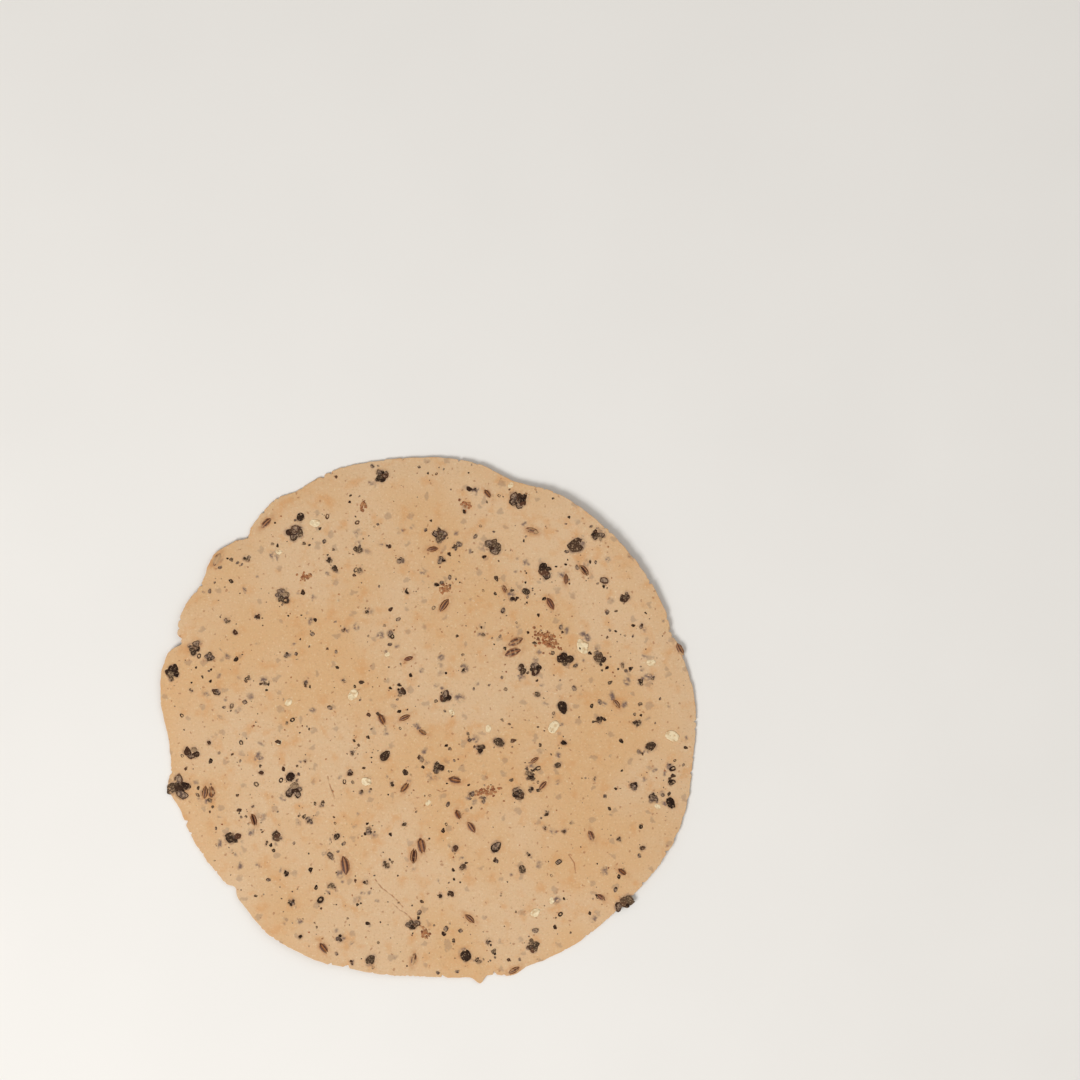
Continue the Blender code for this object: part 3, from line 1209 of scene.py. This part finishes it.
    def hexagon_share(self, places: np.ndarray) -> np.ndarray:
        """How far out points of the unit hexagon are: 0 in the middle, 1 on its sides.

        Args:
            places: the points, a row for each.

        Returns:
            The share for each point.
        """
        turns = np.radians(60 * np.arange(6))
        reaches = places[:, :1] * np.cos(turns) + places[:, 1:2] * np.sin(turns)
        return reaches.max(axis=1) / math.cos(math.radians(30))

    def upper(self, places: np.ndarray) -> np.ndarray:
        """Which points are on the slab's upper face."""
        return places[:, 2] > 0.99 * self.slab

    def on_disc(self, places: np.ndarray) -> tuple[np.ndarray, np.ndarray]:
        """Where points of the hexagon come to lie on the disc.

        Args:
            places: the points, a row for each.

        Returns:
            Their x and y on the disc.
        """
        heading = np.arctan2(places[:, 1], places[:, 0])
        reach = self.hexagon_share(places) * self.frayed(np.degrees(heading))
        return reach * np.cos(heading), reach * np.sin(heading)

    def frayed(self, heading: np.ndarray) -> np.ndarray:
        """Radius of the edge with its finest tears, which come and go along it.

        Args:
            heading: headings in degrees.

        Returns:
            The radius at each heading.
        """
        x, y = round_disc(self.disc.radius, heading)
        torn = smooth_step(0.5 + self.torn_contrast * noise_at(x, y, self.fray_stretch, Layer.TORN))
        fray = noise_at(x, y, self.fray_length, Layer.FRAY)
        fray += 0.5 * noise_at(x, y, self.fray_length / 2, Layer.FINE_FRAY)
        nick = np.maximum(0, noise_at(x, y, self.nick_length, Layer.NICKS) - self.nick_above)
        tears = self.fray_depth * (self.least_torn + torn) * fray
        return self.disc.edge(heading) + tears - self.nick_depth * nick

    def by_pieces(self, places: np.ndarray, pieces: list[Piece]) -> np.ndarray:
        """Which points lie on or close to a piece.

        Args:
            places: points of the hexagon.
            pieces: the pieces.

        Returns:
            True for each point that does.
        """
        x, y = self.on_disc(places)
        found = np.zeros(len(x), dtype=bool)
        for piece in pieces:
            around = near_middle(x, y, piece, piece.length / 2 + self.near_piece)
            _, away = self.from_outline(x[around], y[around], piece)
            found[around[np.abs(away) < self.near_piece]] = True
        return found

    def by_creases(self, places: np.ndarray, reach: float) -> np.ndarray:
        """Which points lie within reach of a crease."""
        return self.from_crease(*self.on_disc(places)) < reach

    def from_outline(self, x: np.ndarray, y: np.ndarray, piece: Piece) -> tuple[np.ndarray, np.ndarray]:
        """Measures points against a piece's oval outline.

        Args:
            x: the points' x.
            y: their y.
            piece: the piece.

        Returns:
            Each point's share of the oval's radius, and how far it lies outside it.
        """
        turn = math.radians(piece.heading)
        half_length, half_width = piece.length / 2, piece.kind.wide * piece.length / 2
        along = ((x - piece.x) * math.cos(turn) + (y - piece.y) * math.sin(turn)) / half_length
        across = ((y - piece.y) * math.cos(turn) - (x - piece.x) * math.sin(turn)) / half_width
        share = np.hypot(along, across)
        return share, (share - 1) * math.sqrt(half_length * half_width)

    def from_crease(self, x: np.ndarray, y: np.ndarray) -> np.ndarray:
        """Distance of points from the nearest crease.

        Args:
            x: the points' x.
            y: their y.

        Returns:
            The distance of each point.
        """
        nearest = np.full(len(x), 1.0)
        for crease in CREASES:
            for start, end in zip(crease, crease[1:]):
                base = np.array(start) * MM
                run = np.array(end) * MM - base
                share = ((x - base[0]) * run[0] + (y - base[1]) * run[1]) / (run @ run)
                share = np.clip(share, 0, 1)
                away = np.hypot(x - base[0] - share * run[0], y - base[1] - share * run[1])
                nearest = np.minimum(nearest, away)
        return nearest

    def round_rim(self, sheet: bpy.types.Object) -> None:
        """Rounds the upper and lower edge of the rim.

        Args:
            sheet: the slab.
        """
        with edit_mode(sheet):
            bpy.ops.mesh.select_mode(type="EDGE")
            bpy.ops.mesh.select_all(action="DESELECT")
            shape = bmesh.from_edit_mesh(sheet.data)
            for edge in shape.edges:
                steep = [abs(face.normal.z) < 0.5 for face in edge.link_faces]
                edge.select_set(any(steep) and not all(steep))
            bmesh.update_edit_mesh(sheet.data)
            bpy.ops.mesh.bevel(offset=self.rim_round, segments=2, affect="EDGES")
            bpy.ops.mesh.select_all(action="SELECT")
            bpy.ops.mesh.quads_convert_to_tris()

    def raise_and_mark(
        self, sheet: bpy.types.Object, places: np.ndarray, pieces: list[Piece], sunken: list[Piece]
    ) -> None:
        """Gives the slab its heights, and writes where spice, oil and cracks show.

        Args:
            sheet: the slab, whose points get the marks.
            places: its points, whose heights are changed.
            pieces: the pieces that stand proud of the dough.
            sunken: pieces that lie wholly under its skin.
        """
        x, y, level = places[:, 0].copy(), places[:, 1].copy(), places[:, 2] / self.slab
        relief = self.swell * noise_at(x, y, self.swell_length, Layer.SWELL)
        relief += self.dimple * noise_at(x, y, self.dimple_length, Layer.DIMPLE)
        patches = noise_at(x, y, self.patch_length, Layer.PATCHES)
        skin = Skin(x, y, patches, relief, np.zeros(len(x)), np.zeros(len(x)))
        rng = random.Random(self.seed)
        for piece in pieces:
            self.press_in(piece, skin, rng)
        for piece in sunken:
            self.bury(piece, skin, rng)
        from_crease = self.from_crease(x, y)
        groove = np.exp(-((from_crease / self.groove_width) ** 2))
        crack = np.exp(-((from_crease / (self.crack_spread * self.groove_width)) ** 2))
        crack *= smooth_step(0.75 + patches)
        low = self.disc.underside(x, y)
        places[:, 2] = low + self.skin_under * (1 - level) + level * self.disc.thickness(x, y)
        places[:, 2] += level * (relief - self.groove_depth * groove)
        places[:, 2] = np.minimum(places[:, 2], self.sprinkling.ceiling)
        shown = 1 - self.less_below * (level < 0.5)
        paint_points(sheet, "ghost", np.clip(skin.ghost * shown, 0, self.most_ghost))
        paint_points(sheet, "stain", np.clip(skin.stain * shown, 0, self.most_stain))
        paint_points(sheet, "crack", np.clip(crack * (level > 0.5), 0, self.most_crack))

    def press_in(self, piece: Piece, skin: Skin, rng: random.Random) -> None:
        """Presses one piece into the sheet, with a lip of dough that laps over part of it.

        Args:
            piece: the piece.
            skin: the sheet's points, which are changed near the piece.
            rng: the source of random numbers.
        """
        near = near_middle(skin.x, skin.y, piece, piece.length / 2 + 4 * self.lip_width)
        x, y, patches = skin.x[near], skin.y[near], skin.patches[near]
        share, away = self.from_outline(x, y, piece)
        pepper = piece.kind is Kind.PEPPER
        lap = rng.uniform(0, math.tau)
        cover = rng.uniform(*(self.pepper_cover if pepper else self.seed_cover))
        side = np.cos(np.arctan2(y - piece.y, x - piece.x) - lap)
        lapped = smooth_step(0.5 + 1.6 * (cover - 0.75 + 0.7 * side + 0.55 * patches))
        dome = np.sqrt(np.clip(1 - share**2, 0, 1))
        proud = 0.5 * self.sprinkling.height(piece) * dome - self.sprinkling.sink
        inside = smooth_step((1.06 - share) / 0.14)
        dip = (1 - lapped) * -self.hollow * smooth_step((0.95 - share) / 0.3)
        film = lapped * (np.maximum(proud, 0) + self.film) * inside
        outside = np.maximum(away, 0)
        lip = self.lip_height * np.exp(-((outside / self.lip_width) ** 2))
        skin.relief[near] += dip + film + lip * (1 - inside)
        fringe = np.exp(-((outside / (self.fringe_width * self.lip_width)) ** 2))
        if pepper:
            grey = rng.uniform(*self.fringe_grey) * smooth_step(0.7 + patches)
            self.darken(skin.ghost, near, np.maximum(lapped * inside * self.lapped_grey, fringe * grey))
        if piece.kind is not Kind.CHIP:
            halo, depth = self.pepper_oil if pepper else self.seed_oil
            oil = depth * np.exp(-((outside / (halo * self.lip_width)) ** 2))
            self.darken(skin.stain, near, oil * smooth_step(0.6 + patches))

    def bury(self, piece: Piece, skin: Skin, rng: random.Random) -> None:
        """Buries one piece just under the skin, so that it shows as a grey ghost.

        Args:
            piece: the piece.
            skin: the sheet's points, which are changed over the piece.
            rng: the source of random numbers.
        """
        near = near_middle(skin.x, skin.y, piece, piece.length)
        share, _ = self.from_outline(skin.x[near], skin.y[near], piece)
        dome = smooth_step((1.15 - share) / 0.5)
        skin.relief[near] += self.lump_height * dome
        strength = rng.uniform(*self.lump_strength)
        self.darken(skin.ghost, near, strength * dome * smooth_step(0.75 + 1.2 * skin.patches[near]))

    def darken(self, mark: np.ndarray, near: np.ndarray, values: np.ndarray) -> None:
        """Raises a mark to new values where these are higher."""
        mark[near] = np.maximum(mark[near], values)


@dataclass
class PepperPieces:
    """The cracked black pepper, from pieces of half a corn down to crumbs of half a millimetre."""

    sprinkling: Sprinkling
    seed: int = 17
    ring_seed: int = 400
    grades: tuple[Grade, ...] = (
        Grade(3.3 * MM, 4, 0.2, 3.0),
        Grade(2.2 * MM, 2, 0.32, 3.0),
        Grade(0, 1, 0.5, 2.2),
    )
    lots: int = 3
    crumbs: Batch = Batch(620, 2.3 * MM, 0.6 * MM, seed=51, flock=0.35)
    under: Batch = Batch(70, 3.4 * MM, 1.0 * MM, seed=52)
    rings: int = 4
    ring_share: float = 0.09
    # Edges sharper than this many degrees stay sharp
    crease: float = 40.0
    # How round the skin swells, from 0 to 1
    swell: float = 0.45
    # The rest is in units of a master, which is one long
    wrinkle_depth: float = 0.13
    ring_wrinkle: float = 0.3
    dent: float = 0.17
    side_reach: tuple[float, float] = (0.24, 0.38)
    top_reach: float = 0.12
    worn_edge: float = 0.06
    worn_rise: float = 0.02
    heart_sink: float = 0.03

    def build(self) -> bpy.types.Object:
        """Breaks the corns, then lays the pieces in both faces of the sheet.

        Returns:
            The piece as one object, in the frame's place.
        """
        graded = [
            (grade, [self.broken(how, grade, 10 * lot) for lot in range(self.lots) for how in Break])
            for grade in self.grades
        ]
        rings = [self.ring(number) for number in range(self.rings)]
        rng = random.Random(self.seed)
        copies = []
        for bit in self.sprinkling.fragments() + self.sprinkling.fine(self.crumbs):
            grade, masters = next((grade, found) for grade, found in graded if bit.length > grade.above)
            if grade is not self.grades[0] and rng.random() < self.ring_share:
                masters = rings
            veil = rng.betavariate(0.5, grade.bare)
            copies.append(Copy(rng.choice(masters), self.sprinkling.seat(bit), veil, rng.random() ** 4))
        for bit in self.sprinkling.fine(self.under):
            place = self.sprinkling.seat_under(bit)
            copies.append(Copy(rng.choice(graded[-1][1]), place, rng.random(), rng.random()))
        masters = [master for _, found in graded for master in found] + rings
        return join_copies("pepper_pieces", masters, copies, self.sprinkling.disc.shift(), self.crease)

    def broken(self, how: Break, grade: Grade, seed: int) -> bpy.types.Object:
        """Breaks one peppercorn.

        Args:
            how: how it breaks.
            grade: how finely it is modelled.
            seed: the seed of its random form.

        Returns:
            The broken corn, as a master.
        """
        rng = random.Random(seed + grade.cuts)
        sides, open_top = how.value
        chamfer = grade.cuts > 1
        bpy.ops.mesh.primitive_ico_sphere_add(subdivisions=1, radius=0.5)
        corn = new_part(f"corn_{how.name.lower()}_{grade.cuts}_{seed}", PepperHull(), PepperHeart())
        start = rng.uniform(0, math.tau)
        with edit_mode(corn):
            bpy.ops.transform.vertex_random(offset=self.dent, seed=seed)
            bpy.ops.mesh.subdivide(number_cuts=grade.cuts, smoothness=self.swell)
            bpy.ops.transform.resize(value=(1, Kind.PEPPER.wide, Kind.PEPPER.high))
            for side in range(sides):
                turn = start + math.tau * side / sides + rng.uniform(-0.5, 0.5)
                away = Vector((math.cos(turn), math.sin(turn), rng.uniform(-0.2, 0.5)))
                self.strike(away, rng.uniform(*self.side_reach), chamfer)
            if open_top:
                away = Vector((rng.uniform(-0.2, 0.2), rng.uniform(-0.2, 0.2), 1))
                self.strike(away, self.top_reach, chamfer, heart=True)
        self.wrinkle_skin(corn, grade.wrinkle, Vector((seed, sides, grade.cuts)))
        fill_unit_box(corn)
        return corn

    def strike(self, away: Vector, reach: float, chamfer: bool = False, heart: bool = False) -> None:
        """Strikes a side off the corn that is being edited.

        Args:
            away: the side's direction.
            reach: how far from the middle it breaks.
            chamfer: whether the broken face gets a worn edge.
            heart: whether the break lays the heart open.
        """
        away.normalize()
        bpy.ops.mesh.select_all(action="SELECT")
        bpy.ops.mesh.bisect(plane_co=away * reach, plane_no=away, use_fill=True, clear_outer=True)
        bpy.ops.mesh.select_mode(type="FACE")
        shape = bmesh.from_edit_mesh(bpy.context.object.data)
        if all(face.select for face in shape.faces):
            return
        if chamfer:
            depth = -self.heart_sink if heart else self.worn_rise
            bpy.ops.mesh.inset(thickness=self.worn_edge, depth=depth, use_even_offset=False)
        if heart:
            bpy.context.object.active_material_index = 1
            bpy.ops.object.material_slot_assign()
        if chamfer:
            bpy.ops.mesh.poke()

    def wrinkle_skin(self, corn: bpy.types.Object, size: float, lot: Vector) -> None:
        """Shrinks the skin to a net of wrinkles, and marks their crests.

        Args:
            corn: the corn.
            size: the wrinkles' size.
            lot: where in the endless pattern this corn's wrinkles are taken from.
        """
        before = points_of(corn)
        pattern = bpy.data.textures.new("wrinkles", "VORONOI")
        pattern.noise_scale = size
        pattern.weight_1, pattern.weight_2 = -1, 1
        corn.location = lot
        settings = {"texture": pattern, "texture_coords": "GLOBAL", "mid_level": 0}
        apply_modifier(corn, "DISPLACE", strength=-self.wrinkle_depth, **settings)
        corn.location = (0, 0, 0)
        bpy.data.textures.remove(pattern)
        sunk = np.linalg.norm(points_of(corn) - before, axis=1)
        # Marks the raised crests, which the hull paints paler: partly rubbed, partly a painted highlight
        paint_points(corn, "crest", 1 - smooth_step(sunk / np.percentile(sunk, 80)))

    def ring(self, number: int) -> bpy.types.Object:
        """One empty hull, crushed to a ring that is torn open or whole.

        Args:
            number: its number, which seeds its form.

        Returns:
            The ring, as a master.
        """
        rng = random.Random(self.ring_seed + number)
        bpy.ops.mesh.primitive_torus_add(
            major_segments=14, minor_segments=6, major_radius=0.34, minor_radius=rng.uniform(0.14, 0.18)
        )
        ring = new_part(f"ring_{number}", PepperHull())
        with edit_mode(ring):
            bpy.ops.transform.vertex_random(offset=0.05, seed=number)
            if number % 2:
                self.strike(Vector((1, rng.uniform(-0.4, 0.4), 0)), rng.uniform(0.12, 0.3))
        self.wrinkle_skin(ring, self.ring_wrinkle, Vector((number, 7, 0)))
        fill_unit_box(ring)
        return ring


@dataclass
class CuminSeeds:
    """The cumin seeds, which lie lengthwise in the dough."""

    sprinkling: Sprinkling
    seed: int = 23
    shape_seed: int = 600
    ribs: int = 6
    shapes: int = 8
    lift: float = 0.08 * MM
    # The most that a seed is bowed, and the edges that stay sharp, in degrees
    bend: float = 24.0
    crease: float = 60.0
    # How many times prouder the ribs stand, and from where on the ends shrink to what share
    rib_rise: float = 1.16
    tapers: tuple = ((0.3, (1, 0.8, 0.8)), (0.42, (1.08, 0.6, 0.6)))
    # How far the halves of a split seed part, and how deep, in units of a master
    split: float = 0.13
    split_depth: float = 0.5

    def build(self) -> bpy.types.Object:
        """Shapes a few seeds and lays copies of them in the sheet.

        Returns:
            The piece as one object, in the frame's place.
        """
        masters = [self.seed_master(n) for n in range(self.shapes)]
        rng = random.Random(self.seed)
        copies = []
        for piece in self.sprinkling.pieces():
            if piece.kind is Kind.CUMIN:
                place = self.sprinkling.seat(piece, self.lift)
                copies.append(Copy(rng.choice(masters), place, rng.betavariate(0.6, 2.4), rng.random()))
        return join_copies("cumin_seeds", masters, copies, self.sprinkling.disc.shift(), self.crease)

    def rib_wave(self, places: np.ndarray, phase: float) -> np.ndarray:
        """How near points are to the crest of a rib: 1 on it, -1 in a furrow."""
        return np.cos(self.ribs * np.arctan2(places[:, 1], places[:, 2]) + phase)

    def seed_master(self, number: int) -> bpy.types.Object:
        """One seed: a ribbed, slightly bowed spindle, whole or split into its two halves.

        Args:
            number: its number, which says whether it is split and seeds its bend.

        Returns:
            The seed, as a master.
        """
        rng = random.Random(self.shape_seed + number)
        halved = number % 3 == 0
        phase = math.pi * (number % 2)
        bpy.ops.mesh.primitive_uv_sphere_add(
            segments=4 * self.ribs, ring_count=16, radius=0.5, rotation=(0, math.pi / 2, 0)
        )
        bpy.ops.object.transform_apply(rotation=True)
        seed = new_part(f"seed_{number}", CuminHusk())
        paint_points(seed, "furrow", 0.5 - 0.5 * self.rib_wave(points_of(seed), phase))
        with edit_mode(seed):
            select_vertices(seed, lambda at: self.rib_wave(at, phase) > 0.5)
            bpy.ops.transform.resize(value=(1, self.rib_rise, self.rib_rise))
            for start, scale in self.tapers:
                select_vertices(seed, lambda at: np.abs(at[:, 0]) > start)
                bpy.ops.transform.resize(value=scale)
            if halved:
                select_vertices(seed, lambda at: (np.abs(at[:, 1]) < 0.05) & (at[:, 2] > 0))
                bpy.ops.transform.translate(value=(0, 0, -self.split_depth))
                for side in (1, -1):
                    select_vertices(seed, lambda at: (side * at[:, 1] > 0.04) & (at[:, 0] > -0.3))
                    bpy.ops.transform.translate(value=(0, side * self.split, 0))
        fill_unit_box(seed)
        bend = math.radians(rng.uniform(-self.bend, self.bend))
        places = points_of(seed)
        places[:, 1:] *= (Kind.CUMIN.wide, Kind.CUMIN.high)
        move_points(seed, places)
        apply_modifier(seed, "SIMPLE_DEFORM", deform_method="BEND", deform_axis="Z", angle=bend)
        fill_unit_box(seed)
        return seed


@dataclass
class PaleChips:
    """The cream chips of split dal and pepper heart."""

    sprinkling: Sprinkling
    seed: int = 29
    shapes: int = 6
    corners: int = 10
    crease: float = 35.0
    # In units of a master: its thickness, how uneven it is, and its flaking steps as inset and depth
    thick: float = 0.28
    dent: float = 0.14
    flakes: tuple = ((0.09, 0.03), (0.13, -0.02))

    def build(self) -> bpy.types.Object:
        """Shapes a few chips and lays copies of them in the sheet.

        Returns:
            The piece as one object, in the frame's place.
        """
        masters = [self.chip_master(n) for n in range(self.shapes)]
        rng = random.Random(self.seed)
        copies = [
            Copy(rng.choice(masters), self.sprinkling.seat(piece), rng.random(), rng.random())
            for piece in self.sprinkling.pieces()
            if piece.kind is Kind.CHIP
        ]
        return join_copies("pale_chips", masters, copies, self.sprinkling.disc.shift(), self.crease)

    def chip_master(self, number: int) -> bpy.types.Object:
        """One chip: a low slab with a broken outline and a worn, flaking top.

        Args:
            number: its number, which seeds its form.

        Returns:
            The chip, as a master.
        """
        bpy.ops.mesh.primitive_cylinder_add(vertices=self.corners, radius=0.5, depth=self.thick)
        chip = new_part(f"chip_{number}", SplitDal())
        with edit_mode(chip):
            bpy.ops.transform.vertex_random(offset=self.dent, seed=number)
            select_faces(chip, lambda _, normals: normals[:, 2] > 0.7)
            for thickness, depth in self.flakes:
                bpy.ops.mesh.inset(thickness=thickness, depth=depth)
            bpy.ops.mesh.poke()
            bpy.ops.mesh.select_all(action="SELECT")
            bpy.ops.mesh.subdivide(number_cuts=2, smoothness=0.6, fractal=0.5, seed=number)
        fill_unit_box(chip)
        return chip


@dataclass
class SpiceDust:
    """Specks of ground spice, a third of a millimetre and up, in both faces of the sheet."""

    sprinkling: Sprinkling
    name: str
    finish: Finish
    # What lies in the upper face and what in the underside
    above: Batch
    below: Batch
    crushed: bool = False
    shapes: int = 5
    # Bits of a crushed seed for each millimetre of its length and root of its width
    crush: float = 4.6
    crush_spread: float = 0.26
    crush_size: tuple[float, float] = (0.4 * MM, 1.3 * MM)
    # How far the bits turn away from their seed's heading, in degrees
    crush_turn: float = 30.0
    lift: float = 0.06 * MM
    crease: float = 60.0
    # How uneven a grain is, in units of a master
    dent: float = 0.14

    def build(self) -> bpy.types.Object:
        """Shapes a few grains and strews copies of them.

        Returns:
            The piece as one object, in the frame's place.
        """
        masters = [self.grain_master(n) for n in range(self.shapes)]
        rng = random.Random(self.above.seed)
        bits = self.sprinkling.fine(self.above)
        if self.crushed:
            bits += self.crushed_bits(rng)
        places = [self.sprinkling.seat(bit, self.lift) for bit in bits]
        places += [self.sprinkling.seat_under(bit) for bit in self.sprinkling.fine(self.below)]
        copies = [Copy(rng.choice(masters), place, rng.random(), rng.random()) for place in places]
        return join_copies(self.name, masters, copies, self.sprinkling.disc.shift(), self.crease)

    def crushed_bits(self, rng: random.Random) -> list[Piece]:
        """Strews the bits of the seeds that were crushed where they lie, thickest in the middle.

        Args:
            rng: the source of random numbers.

        Returns:
            The bits, which are as broad as bits of pepper.
        """
        bits = []
        for x, y, length, width, heading in CRUSHED_SEEDS:
            for _ in range(int(self.crush * length * width**0.5)):
                along = rng.gauss(0, self.crush_spread) * length
                across = rng.gauss(0, self.crush_spread) * width
                spot_x, spot_y = step_from(x, y, along, across, heading)
                size = rng.uniform(*self.crush_size)
                turned = heading + rng.gauss(0, self.crush_turn)
                bits.append(Piece(Kind.PEPPER, spot_x * MM, spot_y * MM, size, turned))
        return bits

    def grain_master(self, number: int) -> bpy.types.Object:
        """One grain: a lump with uneven corners.

        Args:
            number: its number, which seeds its form.

        Returns:
            The grain, as a master.
        """
        bpy.ops.mesh.primitive_ico_sphere_add(subdivisions=1, radius=0.5)
        grain = new_part(f"{self.name}_{number}", self.finish)
        with edit_mode(grain):
            bpy.ops.transform.vertex_random(offset=self.dent, seed=number)
        fill_unit_box(grain)
        return grain


class Lamp(NamedTuple):
    """A square soft light: its name, where it hangs and how wide it is in metres, its power in watts."""

    name: str
    place: tuple[float, float, float]
    size: float
    power: float


@dataclass
class Studio:
    """A pale floor, soft light from the lower left as in the photograph, and its camera."""

    disc: Disc
    lens: float = 85.0
    film: float = 36.0
    # The photograph: mm for each of its pixels, its size, and the disc's middle in it
    pixel: float = 175 / 532 * MM
    frame_pixels: int = 1080
    disc_pixel: tuple[float, float] = (429, 719)
    floor_size: float = 6.0
    lamps: tuple[Lamp, ...] = (
        Lamp("key", (-0.55, -0.6, 0.95), 0.55, 11.0),
        Lamp("fill", (0.8, 0.5, 1.1), 1.2, 4.0),
    )
    # The even light from all sides
    air: str = "#F4F2EF"
    air_strength: float = 0.45
    clip: tuple[float, float] = (0.01, 20.0)

    def build(self) -> None:
        """Sets up the floor, the lights, the world and the camera."""
        self.lay_floor()
        self.hang_lights()
        self.set_camera()
        bpy.context.scene.view_settings.view_transform = "Standard"

    def lay_floor(self) -> None:
        """Lays the floor that the papadum rests on."""
        bpy.ops.mesh.primitive_plane_add(size=self.floor_size)
        new_part("floor", PaintedBoard())

    def hang_lights(self) -> None:
        """Hangs a soft light at the lower left and a weak one across from it, in even air light."""
        for lamp in self.lamps:
            light = bpy.data.lights.new(lamp.name, "AREA")
            light.shape, light.size, light.energy = "SQUARE", lamp.size, lamp.power
            holder = bpy.data.objects.new(lamp.name, light)
            holder.location = lamp.place
            holder.rotation_euler = (-Vector(lamp.place)).to_track_quat("-Z", "Y").to_euler()
            bpy.context.scene.collection.objects.link(holder)
        world = bpy.data.worlds.new("studio")
        world.use_nodes = True
        air = world.node_tree.nodes["Background"].inputs
        air["Color"].default_value = linear(self.air)
        air["Strength"].default_value = self.air_strength
        bpy.context.scene.world = world

    def set_camera(self) -> None:
        """Sets the camera straight above the middle of the photograph."""
        data = bpy.data.cameras.new("camera")
        data.lens, data.sensor_width = self.lens, self.film
        data.clip_start, data.clip_end = self.clip
        camera = bpy.data.objects.new("camera", data)
        middle = self.frame_pixels / 2
        right = (middle - self.disc_pixel[0]) * self.pixel
        up = (self.disc_pixel[1] - middle) * self.pixel
        away = self.frame_pixels * self.pixel * self.lens / self.film
        camera.location = self.disc.shift() + Vector((right, up, away))
        bpy.context.scene.collection.objects.link(camera)
        bpy.context.scene.camera = camera


def main() -> None:
    """Builds the papadum's pieces in order, then the studio round them."""
    logging.basicConfig(level=logging.INFO, format="%(message)s")
    disc = Disc()
    sprinkling = Sprinkling(disc)
    pepper_dust = GroundSpice("ground_pepper", dark="#2E1C14", light="#644835")
    cumin_dust = GroundSpice("ground_cumin", dark="#6A3215", light="#A45F30", film="#BA8A5C")
    parts = (
        DoughSheet(disc, sprinkling),
        PepperPieces(sprinkling),
        CuminSeeds(sprinkling),
        PaleChips(sprinkling),
        SpiceDust(
            sprinkling,
            "pepper_dust",
            pepper_dust,
            above=Batch(420, 0.75 * MM, 0.3 * MM, seed=71, flock=0.3),
            below=Batch(90, 0.75 * MM, 0.3 * MM, seed=72),
        ),
        SpiceDust(
            sprinkling,
            "cumin_dust",
            cumin_dust,
            above=Batch(260, 0.9 * MM, 0.3 * MM, seed=81, flock=0.3),
            below=Batch(60, 0.9 * MM, 0.3 * MM, seed=82),
            crushed=True,
        ),
    )
    for part in parts:
        piece = part.build()
        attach(piece, BODY)
        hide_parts(NODE)
        top = points_of(piece)[:, 2].max() / MM
        piece.data.calc_loop_triangles()
        LOG.info("%s: %d triangles, %.3f mm high", piece.name, len(piece.data.loop_triangles), top)
    Studio(disc).build()


if __name__ == "__main__":
    main()
